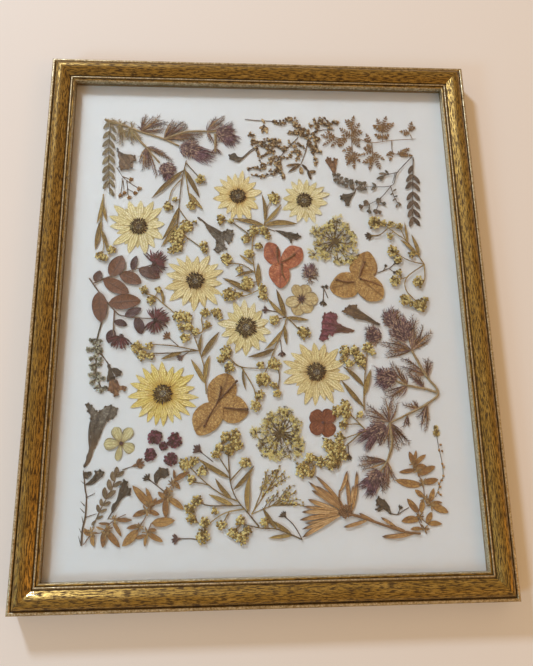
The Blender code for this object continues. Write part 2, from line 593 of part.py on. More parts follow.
press("sea_holly_right", "sea_holly", sprig(
    [[(150, -44), (158, -68), (168, -85), (155, -96), (140, -104), (120, -114)],
     [(165, -88), (148, -81), (130, -76)], [(122, -116), (119, -134), (114, -152), (104, -160)]],
    [(158, -68, 133, -50, 5), (156, -68, 135, -61, 5),      (118, -114, 117, -87, 6),
     (122, -113, 127, -98, 5), (153, -98, 152, -125, 5), (144, -104, 146, -113, 6)],
    width=3) + [
        [(104, -38), (98, -31), (104, -20), (116, -21), (116, -7), (124, -9), (120, -1), (127, -5),
         (130, 1), (135, -10), (143, -15), (147, -9), (149, -16), (154, -8), (156, -21), (163, -17),
         (158, -27), (169, -31), (160, -40), (148, -46), (128, -43)],
        [(114, -103), (95, -96), (101, -108), (92, -111), (97, -120), (86, -127), (98, -128), (97, -142),
         (107, -134), (118, -148), (122, -134), (131, -139), (137, -136), (128, -112)],
        star(121, -72, 11, 17, 7, 0.3), star(103, -165, 10, 19, 6, 0.2)],
      0, [(oval(132, -27, 13, 11), 1.6), (disc(110, -122, 11, 8), 1.6), (disc(120, -72, 9, 7), 1.6),
          (disc(102, -165, 8, 7), 1.6)])


# -------------------------------------------- fringe flower branch

press("fringe_flower_branch", "purple_leaf", sprig(
    [[(-173, 30), (-163, 16), (-147, -3), (-137, -9), (-106, -12)], [(-169, 25), (-150, 33), (-110, 45)],
     [(-147, -3), (-147, -24), (-144, -33)]],
    [(-166, 24, -163, 38, 8.5), (-152, 31, -142, 54, 16), (-131, 37, -128, 54, 6.9),
     (-125, 39, -104, 31, 12),
     (-144, 35, -122, 25, 13), (-159, 28, -134, 15, 14), (-152, 5, -122, 7, 16),
     (-163, 16, -159, -15, 15),
     (-137, -9, -121, -1, 8.5), (-147, -14, -134, -18, 6.9), (-126, -11, -120, -27, 10),
     (-147, -22, -151, -36, 9)]) + [
         star(-108, 47, 7.5, 13, 6), star(-104, -13, 7, 12.5, 6, 0.3), star(-142, -36, 5, 9.5, 5)], 1)


# -------------------------------------------- compound leaves: leaflets along a midrib

def vetch_leaf(name, finish, midrib, tips, level):
    """Leaflets leave the midrib a little further up the leaf than their tips."""
    climb, across = 9, 5.5
    leaves = [(midrib[0][0], y + climb, x, y, across) for x, y in tips]
    press(name, finish, sprig([midrib], leaves, width=TWIG), level)


vetch_leaf("vetch_leaf_left", "olive_leaf", [(-161, 207), (-161, 165), (-158, 121)],
           [(-170, 197), (-170, 186), (-169, 175), (-168, 166), (-168, 156), (-167, 146), (-167, 137),
            (-167, 128), (-153, 174), (-155, 166), (-153, 157), (-153, 147), (-152, 139), (-152, 129),
            (-152, 117)], 1)
vetch_leaf("vetch_leaf_right", "dark_leaf", [(163, 167), (160, 130), (158, 98)],
           [(155, 150), (152, 140), (151, 130), (151, 118), (151, 108), (151, 99), (154, 90),
            (167, 138), (167, 129), (166, 118), (166, 108), (164, 99), (163, 90)], 1)

press("oval_leaf_sprig", "olive_leaf", sprig(
    [[(-139, -156), (-143, -172), (-150, -188), (-157, -205)]],
    [(-139, -158, -138, -151, 5), (-140, -164, -131, -157, 6), (-141, -169, -133, -165, 5),
     (-144, -177, -138, -172, 5), (-149, -186, -141, -184, 4.5), (-152, -192, -145, -190, 4),
     (-141, -165, -145, -157, 5), (-143, -172, -147, -164, 5), (-147, -181, -148, -170, 5.5),
     (-150, -187, -151, -179, 4), (-152, -192, -155, -185, 4)], width=TWIG), 0)


# -------------------------------------------- ferny leaves

press("ferny_leaf_left", "fern", sprig(
    [[(68, 198), (82, 191), (97, 191)], [(97, 191), (98, 206)], [(97, 191), (97, 166)]],
    [(79, 191, 65, 181, 3.5), (84, 191, 74, 180, 3.5), (92, 190, 83, 180, 5),
     (97, 194, 84, 203, 6), (97, 200, 91, 214, 4), (98, 205, 101, 219, 4), (97, 197, 107, 210, 5),
     (97, 191, 106, 180, 6), (97, 181, 89, 165, 5), (97, 172, 90, 158, 5),
     (97, 170, 98, 154, 4), (97, 174, 105, 162, 4)], width=TWIG), 1)
press("ferny_leaf_right", "fern", sprig(
    [[(104, 191), (118, 186), (140, 189), (168, 191.5)], [(131, 188), (131, 206)], [(119, 186),
                                                                                    (119, 164)],
     [(141, 189), (141, 175), (148, 172)], [(164, 191), (161, 200), (162, 206)]],
    [(131, 199, 121, 207, 4), (131, 201, 126, 216, 6), (131, 204, 137, 219, 5), (131, 198, 145, 211, 6.9),
     (119, 180, 109, 179, 4),
     (119, 170, 107, 161, 4), (119, 167, 114, 153, 4), (119, 175, 126, 154, 7),
     (141, 176, 137, 164, 4), (161, 200, 150, 200, 4), (161, 201, 165, 213, 5)], width=TWIG)
      + [[(144, 168), (152, 180), (160, 181), (167, 175), (163, 171), (155, 171)]], 1)


# -------------------------------------------- small branching sprigs

press("heather_sprigs", "heather", [ribbon(path, 7) for path in (
    [(12, 210), (25, 211), (36, 206), (44, 196)], [(38, 197), (61, 198)], [(57, 199), (57, 178),
                                                                           (58, 160)],
    [(8, 174), (14, 158), (12, 150), (22, 143)], [(-12, 196), (-10, 185), (0, 183), (25, 182)])] + sprig(
        [[(-18, 212), (14, 211)], [(1, 212), (2, 198)], [(45, 198), (47, 180), (41, 161)],
         [(46, 194), (20, 176), (11, 164)], [(10, 182), (8, 170), (-5, 169)], [(-16, 153), (12, 155)]],
        [(41, 162, 27, 149, 4), (41, 162, 51, 141, 5)], [(2, 200, 5)], 2) + [
            blade((59, 197), (83, 211), 7), blade((58, 196), (69, 217), 7), 
            blade((44, 192), (37, 164), 6)], 0)

press("salvia_twigs", "salvia", sprig(
    [[(163, 171), (146, 152), (138, 136), (106, 135)], [(146, 151), (131, 148), (122, 143)],
     [(138, 135), (124, 119), (110, 113)], [(138, 135), (140, 122), (144, 110)], [(122, 117),
                                                                                  (119, 105)]],
    [(120, 136, 114, 130, 4)],
    [(123, 118, 4.5), (109, 113, 5.5), (119, 106, 4)], TWIG) + [
        blade((112, 134), (74, 145), 13), blade((100, 132), (84, 119), 11)], 2)

press("lavender_spike", "lavender", [ribbon([(-159, -14), (-162, -34)], 1.8)] + [
    ribbon([(-162, -29), (-163, -58), (-160, -70), (-157, -83)], 7)] + [
        blade((-162, -38), (-173, -40), 5), blade((-162, -36), (-153, -43), 5), blade((-163, -50),
                                                                                      (-170, -51), 5),
        blade((-162, -54), (-155, -57), 5), blade((-162, -66), (-170, -67), 5), blade((-160, -68),
                                                                                      (-153, -69), 4),
        blade((-159, -76), (-152, -80), 4)], 0)

press("fine_twig_spray", "golden_spray", sprig(
    [[(-15, -196), (2, -172), (11, -158)], [(-13, -193), (-6, -177), (0, -160)], [(-11, -190),
                                                                                  (6, -180), (18, -166)],
     [(-15, -196), (8, -188), (24, -178)], [(-6, -193), (8, -190), (32, -189)]], [],
    [(-1, -159, 4), (10, -157, 6), (18, -164, 5), (5, -173, 3.5), (23, -178, 4.5), (32, -188, 3)],
    TWIG), 0)


# -------------------------------------------- russet leafy twigs

press("russet_twig_left", "russet_leaf", sprig(
    [[(-156, -202), (-143, -204), (-135, -199), (-129, -193)], [(-143, -204), (-145, -210),
                                                                (-158, -210), (-164, -219)]],
    [(-135, -199, -123, -199, 5), (-137, -201, -132, -213, 5), (-143, -206, -133, -222, 6),
     (-144, -209, -148, -222, 6), (-158, -210, -155, -221, 5), (-157, -210, -165, -206, 5)],
     width=TWIG), 1)
press("russet_twig_lower_left", "russet_leaf", sprig(
    [[(-86, -157), (-94, -178), (-108, -189), (-113, -202), (-119, -211)], [(-94, -178), (-95, -197)],
     [(-113, -203), (-107, -208), (-109, -214)]],
    [(-108, -187, -123, -170, 8), (-108, -188, -123, -196, 6.9), (-107, -188, -99, -195, 5),
     (-93, -175, -101, -173, 6), (-94, -181, -78, -191, 6.9), (-95, -196, -107, -202, 7.5),
     (-95, -196, -85, -200, 7.5), (-114, -203, -126, -206, 5), (-116, -206, -129, -220, 9),
     (-108, -210, -95, -217, 5)], width=TWIG), 1)
press("russet_twig_right", "russet_leaf", sprig(
    [[(138, -153), (145, -170), (146, -184), (139, -200), (143, -214)], [(146, -184), (153, -192)],
     [(139, -200), (149, -209)]],
    [(138, -156, 135, -142, 6), (139, -155, 151, -145, 5), (140, -157, 151, -156, 6),
     (140, -159, 124, -161, 5), (142, -164, 159, -156, 7.5), (145, -173, 120, -168, 8.5),
     (145, -171, 161, -168, 6.9),
     (146, -184, 138, -177, 5.5), (150, -189, 156, -176, 5.5), (151, -192, 168, -198, 8),
     (140, -198, 130, -185, 6.9), (146, -187, 142, -198, 6), (139, -204, 123, -205, 7.5),
     (146, -207, 152, -197, 6),
     (147, -208, 161, -208, 5.5)], width=TWIG), 0)

press("strap_leaf_fan", "russet_leaf", sprig(
    [[(66, -195), (90, -202), (110, -209), (125, -214), (140, -216)], [(71, -197), (66, -186),
                                                                       (67, -176)]],
    [(72, -194, 45, -163, 5), (70, -194, 45, -172, 5), (68, -194, 41, -176, 5.5), (66, -195, 37, -184, 6),
     (66, -196, 31, -195, 5.5), (66, -197, 29, -202, 6), (68, -198, 31, -210, 5),
     (68, -197, 31, -217, 6.9),
     (67, -178, 75, -159, 5), (75, -196, 74, -165, 5.5), (77, -197, 84, -159, 5), (92, -203, 69, -209, 5),
     (136, -215, 104, -218, 6)],
    [(71, -195, 7)], 2.5), 1)


# -------------------------------------------- trumpet flowers and florets, each a flat outline

TRUMPETS = {
    "grey_trumpet": ("trumpet", 0, [
        (-68, 96), (-66, 97), (-58, 90), (-50, 84), (-45, 80), (-40, 81), (-37, 83), (-32, 82), (-31, 78),
        (-33, 71), (-36, 68), (-40, 73), (-40, 66), (-38, 62), (-42, 61), (-46, 58), (-50, 61), (-48, 69),
        (-53, 76), (-58, 84), (-61, 90)]),
    "large_grey_trumpet": ("trumpet", 0, [
        (-170, -97), (-167, -94), (-161, -96), (-157, -102), (-154, -103), (-150, -98), (-145, -97),
        (-139, -101), (-142, -105), (-143, -109), (-149, -111), (-152, -119), (-159, -134), (-163, -147),
        (-167, -153), (-169, -150), (-162, -133), (-163, -115), (-164, -108), (-168, -103)]),
    "magenta_trumpet": ("magenta", 0, [
        (60, -6), (66, -5), (71, -6), (73, -9), (72, -14), (80, -20), (88, -23), (88, -25), (80, -26),
        (70, -26), (67, -30), (63, -27), (62, -32), (57, -34), (54, -32), (56, -24), (57, -16),
        (58, -10)]),
    "brown_trumpet_right": ("trumpet", 1, [
        (78, -4), (83, -3), (84, 1), (92, 3), (95, -4), (104, -11), (119, -17), (119, -19), (110, -17),
        (98, -12), (88, -10), (79, -5)]),
    "brown_trumpet_left": ("trumpet", 1, [
        (-153, 174), (-151, 173), (-148, 168), (-141, 167), (-134, 165), (-133, 160), (-137, 158),
        (-136, 152),
        (-140, 150), (-147, 149), (-149, 152), (-150, 160), (-152, 168)]),
    "viola": ("pale_petal", 0, [
        (33, -7), (26, -3), (21, 4), (24, 8), (30, 9), (25, 13), (26, 20), (29, 24), (34, 20),
        (37, 24), (42, 22),
        (49, 18), (53, 13), (53, 6), (48, -2), (42, -6)]),
}

for flower_name, (flower_finish, flower_level, outline) in TRUMPETS.items():
    press(flower_name, flower_finish, [outline], flower_level)

press("pale_floret", "pale_petal", [disc(-135, -131, 4)] + [blade((-135, -131),
                                                                  tip, across) for tip, across in (
    ((-141, -118), 11), ((-126, -119), 11), ((-149, -134), 12), ((-125, -139), 12), ((-137, -146), 8))])
press("hydrangea_floret", "hydrangea", [disc(49, -109, 8, 8), disc(59, -109.5, 7.5, 8),
                                        disc(48, -117.5, 7, 8),
                                        disc(57, -119.5, 7.5, 8)], 0)
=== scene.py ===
from math import atan2, cos, hypot, pi, radians, sin
from random import Random

import bmesh
import bpy
import numpy as np
from mathutils import Matrix, Vector, noise
from mathutils.geometry import delaunay_2d_cdt


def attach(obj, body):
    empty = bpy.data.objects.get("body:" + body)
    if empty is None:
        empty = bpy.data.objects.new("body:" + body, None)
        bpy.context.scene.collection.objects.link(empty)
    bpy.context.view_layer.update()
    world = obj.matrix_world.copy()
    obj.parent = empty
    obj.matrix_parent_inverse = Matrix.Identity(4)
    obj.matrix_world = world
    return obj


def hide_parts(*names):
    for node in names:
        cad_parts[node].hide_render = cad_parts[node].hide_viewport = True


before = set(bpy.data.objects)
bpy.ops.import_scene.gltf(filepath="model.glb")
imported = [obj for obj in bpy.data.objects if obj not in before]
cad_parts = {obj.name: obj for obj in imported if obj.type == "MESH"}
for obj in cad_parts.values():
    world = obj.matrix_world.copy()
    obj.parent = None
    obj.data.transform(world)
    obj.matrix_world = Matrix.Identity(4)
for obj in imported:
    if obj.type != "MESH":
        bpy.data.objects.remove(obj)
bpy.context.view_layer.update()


# -------------------- table, light and camera
# The frame lies on its back on a pale table in warm light. The main lamp stands past the top left
# corner, low enough for the lip to shade the paper. A blue lamp fills in from the left, an orange one
# from the right.

TABLE_COLOUR = (0.88, 0.88, 0.88)
TABLE_HALF_WIDTH = 4
TABLE_GAP = 0.0005  # under the frame
CAMERA_PLACE = (-0.031326, -0.162961, 0.562486)
CAMERA_AHEAD = Vector((0.057696, 0.240823, -0.968853))
CAMERA_UP = Vector((0.001850, 0.970442, 0.241328))
CAMERA_LENS = 31.262
KEY_LAMP = dict(place=(-1.2, 2.0, 1.45), size=0.36, power=43.5, colour=(0.71, 0.80, 0.91))
WARM_LAMP = dict(place=(1.4, -0.6, 1.3), size=0.7, power=3, colour=(1.0, 0.4, 0.02))
COOL_LAMP = dict(place=(-1.3, -0.8, 0.9), size=0.5, power=6.4, colour=(0.36, 0.72, 1.0))
SKY_COLOUR, SKY_STRENGTH = (1.0, 0.66, 0.36), 0.54

bpy.context.scene.view_settings.view_transform = "Standard"

sky = bpy.data.worlds.new("studio")
sky.use_nodes = True
background = sky.node_tree.nodes["Background"]
background.inputs["Color"].default_value = (*SKY_COLOUR, 1)
background.inputs["Strength"].default_value = SKY_STRENGTH
bpy.context.scene.world = sky

for lamp_name, lamp in (("key_lamp", KEY_LAMP), ("warm_lamp", WARM_LAMP), ("cool_lamp", COOL_LAMP)):
    light = bpy.data.lights.new(lamp_name, "AREA")
    light.shape = "DISK"
    light.size = lamp["size"]
    light.energy = lamp["power"]
    light.color = lamp["colour"]
    holder = bpy.data.objects.new(lamp_name, light)
    holder.location = lamp["place"]
    holder.rotation_euler = (-Vector(lamp["place"])).to_track_quat("-Z", "Y").to_euler()
    bpy.context.scene.collection.objects.link(holder)

camera = bpy.data.objects.new("camera", bpy.data.cameras.new("camera"))
camera.data.lens = CAMERA_LENS
camera_axes = Matrix((CAMERA_AHEAD.cross(CAMERA_UP), CAMERA_UP, -CAMERA_AHEAD)).transposed()
camera.matrix_world = Matrix.Translation(CAMERA_PLACE) @ camera_axes.to_4x4()
bpy.context.scene.collection.objects.link(camera)
bpy.context.scene.camera = camera

bm = bmesh.new()
bmesh.ops.create_grid(bm, x_segments=1, y_segments=1, size=TABLE_HALF_WIDTH)
bmesh.ops.translate(bm, vec=(0, 0, -TABLE_GAP), verts=bm.verts)
table_mesh = bpy.data.meshes.new("table_top")
bm.to_mesh(table_mesh)
bm.free()
table_paint = bpy.data.materials.new("table_paint")
table_paint.use_nodes = True
table_shader = table_paint.node_tree.nodes["Principled BSDF"]
table_shader.inputs["Base Color"].default_value = (*TABLE_COLOUR, 1)
table_shader.inputs["Roughness"].default_value = 0.9
table_mesh.materials.append(table_paint)
table_top = bpy.data.objects.new("table_top", table_mesh)
bpy.context.scene.collection.objects.link(table_top)


# -------------------- moulding
# Four lengths of wood moulding, mitred at the corners: a broad rounded band in gold and brown grained
# foil between a gilt bead at the outer edge and a double gilt bead round the sight edge.

MM = 0.001
SHEET_WIDTH, SHEET_HEIGHT = 406, 508
FACE_WIDTH = 25  # of the moulding
RABBET = 6  # reach of the lip over the glass
SHEET_PLAY = 1
FIT = 0.3  # play where two rails meet
FRAME_WIDTH = SHEET_WIDTH + 2 * (SHEET_PLAY + FACE_WIDTH - RABBET)
FRAME_HEIGHT = SHEET_HEIGHT + 2 * (SHEET_PLAY + FACE_WIDTH - RABBET)
LIP_Z = 15.5
SIDE_Z, GROOVE_Z, SIGHT_Z = 21.3, 20.9, 18.5
OUTER_BEAD, OUTER_BEAD_RISE = (0, 3.4), 1.7
INNER_BEAD, INNER_BEAD_RISE = (20.6, 22.4), 1.1
BAND_START, BAND_CREST, BAND_END = 4.4, 10.0, 18.6
BAND_EDGE_Z, BAND_CREST_Z, BAND_INNER_Z = 22.2, 26.5, 22.6
SIGHT_BEAD = [(22.6, 20.4), (23.1, 20.7), (23.8, 20.6), (24.4, 20.1), (24.8, 19.4)]
# middle of each groove, and how far from it the painted shade starts and is full
GROOVES = [(3.9, 0.75, 0.3), (19.9, 0.6, 0.2), (22.6, 0.45, 0.1)]
MAP_UNIT = 100  # millimetres along the rail map's 0 to 1
SHARP_EDGE = 40  # degrees


def tone(red, green, blue):
    """A display colour, 0 to 255, as the linear colour that a shader takes."""
    shares = (red / 255, green / 255, blue / 255)
    return tuple(((s + 0.055) / 1.055) ** 2.4 if s > 0.04 else s / 12.92 for s in shares)


class Link:
    """A socket of a shader node that arithmetic works on: each operation adds its Math node."""

    def __init__(self, finish, socket):
        self.finish, self.socket = finish, socket

    def maths(self, operation, *values):
        return self.finish.node("Math", dict(operation=operation), dict(enumerate(values)))

    def __add__(self, other):
        return self.maths("ADD", self, other)

    def __sub__(self, other):
        return self.maths("SUBTRACT", self, other)

    def __rsub__(self, other):
        return self.maths("SUBTRACT", other, self)

    def __mul__(self, other):
        return self.maths("MULTIPLY", self, other)

    def __abs__(self):
        return self.maths("ABSOLUTE", self)

    def sine(self):
        return self.maths("SINE", self)

    def between(self, low, high):
        """0 below low, 1 above high and a smooth step from one to the other."""
        return self.finish.node("MapRange", dict(interpolation_type="SMOOTHSTEP"),
                                {"Value": self, "From Min": low, "From Max": high})

    __radd__ = __add__
    __rmul__ = __mul__


class Finish:
    """A material with a Principled shader, and the nodes that feed it."""

    def __init__(self, name, roughness, metallic=0.0, coat=0.0):
        self.material = bpy.data.materials.new(name)
        self.material.use_nodes = True
        self.tree = self.material.node_tree
        self.shader = self.tree.nodes["Principled BSDF"]
        self.set(Roughness=roughness, Metallic=metallic)
        self.shader.inputs["Coat Weight"].default_value = coat

    def plug(self, socket, value):
        if isinstance(value, Link):
            self.tree.links.new(value.socket, socket)
        elif socket.type == "RGBA":
            socket.default_value = (*value, 1)
        else:
            socket.default_value = value

    def set(self, **values):
        for key, value in values.items():
            self.plug(self.shader.inputs[key.replace("_", " ")], value)

    def node(self, kind, settings=None, values=None, output=0):
        """One shader node: its settings are set first, then the values or links of its sockets."""
        made = self.tree.nodes.new("ShaderNode" + kind)
        for key, value in (settings or {}).items():
            if key == "stops":
                while len(made.color_ramp.elements) < len(value):
                    made.color_ramp.elements.new(1)
                for element, (place, colour) in zip(made.color_ramp.elements, value):
                    element.position = place
                    element.color = (*colour, 1)
            else:
                setattr(made, key, value)
        for key, value in (values or {}).items():
            self.plug(made.inputs[key], value)
        return Link(self, made.outputs[output])

    def mix(self, factor, first, second):
        """A colour between two colours; sockets 6 and 7 are the Mix node's colours, output 2 its colour."""
        return self.node("Mix", dict(data_type="RGBA"), {0: factor, 6: first, 7: second}, 2)

    def ramp(self, factor, *stops):
        return self.node("ValToRGB", dict(stops=stops), {0: factor})

    def place(self):
        """Object coordinates in millimetres."""
        spot = self.node("TexCoord", output=3)
        return self.node("VectorMath", dict(operation="MULTIPLY"), {0: spot, 1: (1 / MM, 1 / MM, 1 / MM)})

    def noise(self, scale, detail=3, vector=None):
        """Noise from 0 to 1; scale is its blotches per millimetre."""
        values = {"Vector": vector or self.place(), "Scale": scale, "Detail": detail}
        return self.node("TexNoise", {}, values)

    def flat_map(self, name):
        """Both coordinates of a UV map."""
        spot = self.node("UVMap", dict(uv_map=name))
        return (self.node("SeparateXYZ", {}, {0: spot}, axis) for axis in (0, 1))

    def bump(self, height, depth):
        """Relief: depth is in millimetres."""
        self.set(Normal=self.node("Bump", {}, {"Height": height, "Distance": depth * MM, "Strength": 1.0}))


def add_piece(name, mesh, finishes, node=None):
    """A mesh becomes a piece of the frame, in place of its CAD node if it has one."""
    for finish in finishes:
        mesh.materials.append(finish.material)
    piece = bpy.data.objects.new(name, mesh)
    bpy.context.scene.collection.objects.link(piece)
    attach(piece, "root")
    if node:
        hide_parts(node)


def arch(start, end, base, rise, steps, last=pi):
    """Points over a bead from start to end: distance from the frame's outer edge, and height."""
    middle, half = (start + end) / 2, (end - start) / 2
    turns = [last * i / steps for i in range(steps + 1)]
    return [(middle - half * cos(turn), base + rise * sin(turn)) for turn in turns]


def moulding_section():
    """The moulding cut across: from the back of its outer side over the face to the rabbet."""
    rise, fall = BAND_CREST_Z - BAND_EDGE_Z, BAND_CREST_Z - BAND_INNER_Z
    steps = 14
    section = [(0, 0), *arch(*OUTER_BEAD, SIDE_Z, OUTER_BEAD_RISE, 10), (3.45, GROOVE_Z)]
    section += [(BAND_START, GROOVE_Z)]
    section += arch(BAND_START, 2 * BAND_CREST - BAND_START, BAND_EDGE_Z, rise, 12, pi / 2)
    for i in range(1, steps + 1):
        section.append((BAND_CREST + (BAND_END - BAND_CREST) * i / steps,
                        BAND_INNER_Z + fall * cos(pi / 2 * i / steps)))
    section += [(19.6, 22.0), (19.8, GROOVE_Z), *arch(*INNER_BEAD, GROOVE_Z, INNER_BEAD_RISE, 8)]
    lip = FACE_WIDTH - RABBET
    return section + [*SIGHT_BEAD, (FACE_WIDTH, SIGHT_Z), (FACE_WIDTH, LIP_Z), (lip, LIP_Z), (lip, 0)]


def moulding_finish():
    finish = Finish("grained_gold_foil", 0.38, coat=0.25)
    along, inward = finish.flat_map("rail")
    grain_place = finish.node("CombineXYZ", {}, {0: along * 1.5, 1: inward * 12, 2: 0.0})
    streak = finish.node("TexNoise", {}, {"Vector": grain_place, "Scale": 9.0, "Detail": 5.0,
                                          "Roughness": 0.6})
    fine, broad = finish.noise(34.0, 3, grain_place), finish.noise(2.2, 2, grain_place)
    gold = finish.ramp(broad * 0.5 + fine * 0.5, (0.3, tone(122, 94, 32)), (0.52, tone(164, 132, 56)),
                       (0.75, tone(204, 176, 106)))
    dark = streak.between(0.45, 0.57) * 0.9
    band = finish.mix(dark, gold, tone(64, 42, 10))
    place = inward * MAP_UNIT
    bead = place.between(0.4, 1.0) * place.between(3.4, 2.6)
    bead += place.between(20.3, 20.8) * place.between(22.5, 22.1)
    bead += place.between(24.0, 24.5)
    worn = finish.noise(0.6, 4)
    gilt = finish.ramp(worn, (0.3, tone(136, 118, 84)), (0.5, tone(186, 172, 138)),
                       (0.7, tone(220, 212, 188)))
    # Painted shade: in the three grooves the colour darkens and the metal dulls.
    outer, inner, sight = (abs(place - middle).between(start, full) for middle, start, full in GROOVES)
    groove_shade = outer + inner + sight
    colour = finish.mix(bead, band, gilt)
    finish.set(Base_Color=finish.mix(groove_shade * 0.8, colour, tone(58, 38, 16)),
               Roughness=0.34 + dark * 0.25 + (worn - 0.5) * 0.2, Metallic=0.5 + bead * 0.3 - groove_shade * 0.4)
    finish.bump(streak + fine * 0.3, 0.12)
    return finish


def moulding_rail(name, length, turn, half_span, finish):
    """The section drawn out, sawn to 45 degrees at both ends and turned to its side of the frame.

    The rail map runs along the rail and inward over its face; on upright sides it runs down the side.
    """
    bm = bmesh.new()
    flat_map = bm.loops.layers.uv.new("rail")
    end = bm.faces.new([bm.verts.new((-length, s - half_span, z)) for s, z in moulding_section()])
    drawn = bmesh.ops.extrude_face_region(bm, geom=[end])["geom"]
    far_end = [v for v in drawn if isinstance(v, bmesh.types.BMVert)]
    bmesh.ops.translate(bm, vec=(2 * length, 0, 0), verts=far_end)
    for side in (-1, 1):
        corner = (side * (length / 2 - FIT / 4), -half_span, 0)
        cut = bmesh.ops.bisect_plane(bm, geom=bm.verts[:] + bm.edges[:] + bm.faces[:], plane_co=corner,
                                     plane_no=(side, 1, 0), clear_outer=True)
        bmesh.ops.edgenet_fill(bm, edges=[e for e in cut["geom_cut"] if isinstance(e, bmesh.types.BMEdge)])
    bmesh.ops.recalc_face_normals(bm, faces=bm.faces)
    if bm.calc_volume(signed=True) < 0:
        bmesh.ops.reverse_faces(bm, faces=bm.faces)
    for face in bm.faces:
        upright = face.normal.y if abs(face.normal.y) > 0.95 else 0
        for loop in face.loops:
            x, y, z = loop.vert.co
            inward = y + half_span + upright * (SIDE_Z - z)
            loop[flat_map].uv = (x / MAP_UNIT + turn * 7, inward / MAP_UNIT)
    bmesh.ops.rotate(bm, cent=(0, 0, 0), matrix=Matrix.Rotation(-turn * pi / 2, 3, "Z"), verts=bm.verts)
    bmesh.ops.scale(bm, vec=(MM, MM, MM), verts=bm.verts)
    mesh = bpy.data.meshes.new(name + "_moulding")
    bm.to_mesh(mesh)
    bm.free()
    rounded = [abs(p.normal.z) > 0.1 or p.center.z > SIDE_Z * MM for p in mesh.polygons]
    mesh.polygons.foreach_set("use_smooth", rounded)
    mesh.set_sharp_from_angle(angle=radians(SHARP_EDGE))
    add_piece(mesh.name, mesh, [finish], name)


foil = moulding_finish()
moulding_rail("rail_bottom", FRAME_WIDTH, 0, FRAME_HEIGHT / 2, foil)
moulding_rail("rail_left", FRAME_HEIGHT, 1, FRAME_WIDTH / 2, foil)
moulding_rail("rail_top", FRAME_WIDTH, 2, FRAME_HEIGHT / 2, foil)
moulding_rail("rail_right", FRAME_HEIGHT, 3, FRAME_WIDTH / 2, foil)


# -------------------- glass
# One pane of clear picture glass, under the lip. Lamps shine through it.

def picture_glass():
    finish = Finish("picture_glass", 0.03)
    finish.set(Base_Color=(0.97, 0.99, 0.98), IOR=1.5, Transmission_Weight=1.0)
    smears = finish.noise(0.03, 4)
    finish.set(Roughness=0.01 + smears * 0.04)
    clear = finish.node("BsdfTransparent", {}, {"Color": (0.96, 0.97, 0.965)})
    lamp_ray = finish.node("LightPath", output=1)
    both = finish.node("MixShader", {}, {0: lamp_ray, 1: Link(finish, finish.shader.outputs[0]), 2: clear})
    finish.plug(finish.tree.nodes["Material Output"].inputs["Surface"], both)
    return finish


def refinish(node, finish):
    """A CAD node keeps its shape and takes a finish."""
    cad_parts[node].data.materials.clear()
    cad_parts[node].data.materials.append(finish.material)


refinish("glass_pane", picture_glass())


# -------------------- sheet, spacer and back
# The plants are glued to a sheet of matt white paper on board. Behind it are a brown fibreboard, six
# flat steel points that hold it in, and a saw-tooth hanger. A tan board spacer runs round under the lip.

def paper_finish():
    finish = Finish("white_paper", 0.9)
    clouds, fibre = finish.noise(0.012, 3), finish.noise(2.5, 4)
    base = finish.mix(clouds, tone(214, 212, 211), tone(222, 220, 219))
    specks = finish.node("TexVoronoi", {}, {"Vector": finish.place(), "Scale": 0.045})
    sparse = finish.noise(0.02, 1).between(0.56, 0.6)
    dirt = specks.between(0.022, 0.012) * sparse
    finish.set(Base_Color=finish.mix(dirt * 0.7, base, tone(120, 112, 100)))
    finish.bump(fibre, 0.05)
    return finish


def board_finish(name, dark, light, roughness):
    finish = Finish(name, roughness)
    chips, dust = finish.noise(0.5, 5), finish.noise(3, 3)
    finish.set(Base_Color=finish.mix(chips * 0.6 + dust * 0.4, dark, light))
    finish.bump(chips + dust, 0.1)
    return finish


def plated_steel():
    finish = Finish("zinc_plated_steel", 0.35, metallic=1.0)
    spangle = finish.node("TexVoronoi", {}, {"Vector": finish.place(), "Scale": 0.5}, 1)
    finish.set(Base_Color=finish.mix(0.2, tone(190, 192, 196), spangle))
    finish.set(Roughness=0.3 + finish.noise(1.5) * 0.2)
    return finish


refinish("mount_sheet", paper_finish())
refinish("spacer_ring", board_finish("tan_board", tone(124, 98, 66), tone(152, 124, 88), 0.85))
refinish("backing_board", board_finish("brown_fibreboard", tone(96, 66, 40), tone(140, 102, 66), 0.75))
steel = plated_steel()
for fixing in ("hanger", *(f"tab_{number}" for number in range(1, 7))):
    refinish(fixing, steel)


# -------------------- daisies
# Seven pressed daisies: long papery petals in two overlapping rows, lighter outside, round an eye of
# tightly set dry florets; the under row takes darker tints, painted shade under the upper one. Each is
# laid flat and glued to the paper under its eye.

PAPER_TOP, GLASS_UNDER = 10.2, 13.2
GOLDEN_ANGLE = pi * (3 - 5 ** 0.5)
PETAL_THICKNESS = 0.25
STEM_STEP = 2.2  # length of stem between two rings of its mesh
STEM_KNOTS = 0.12  # how uneven a stem is, as a share of its width
STEM_FLATNESS = 0.6
CREASE = 60  # degrees; a sharper fold than this shows as an edge


def around(centre, distance, angle):
    """The point at a distance from a centre, in the direction of an angle."""
    return centre[0] + distance * cos(angle), centre[1] + distance * sin(angle)


def part_way(start, end, share):
    """The point at a share of the way from start to end."""
    return start[0] + (end[0] - start[0]) * share, start[1] + (end[1] - start[1]) * share


def way(start, end):
    """How far it is from start to end, and in which direction."""
    return hypot(end[0] - start[0], end[1] - start[1]), atan2(end[1] - start[1], end[0] - start[0])


def run_length(path):
    return sum(way(start, end)[0] for start, end in zip(path, path[1:]))


class Blank:
    """A small closed shape, made once and laid many times. Its length runs from x 0 to 1."""

    def __init__(self, bm):
        bmesh.ops.recalc_face_normals(bm, faces=bm.faces)
        if bm.calc_volume(signed=True) < 0:
            bmesh.ops.reverse_faces(bm, faces=bm.faces)
        bm.verts.index_update()
        self.points = np.array([v.co[:] for v in bm.verts])
        self.faces = [[v.index for v in face.verts] for face in bm.faces]
        bm.free()


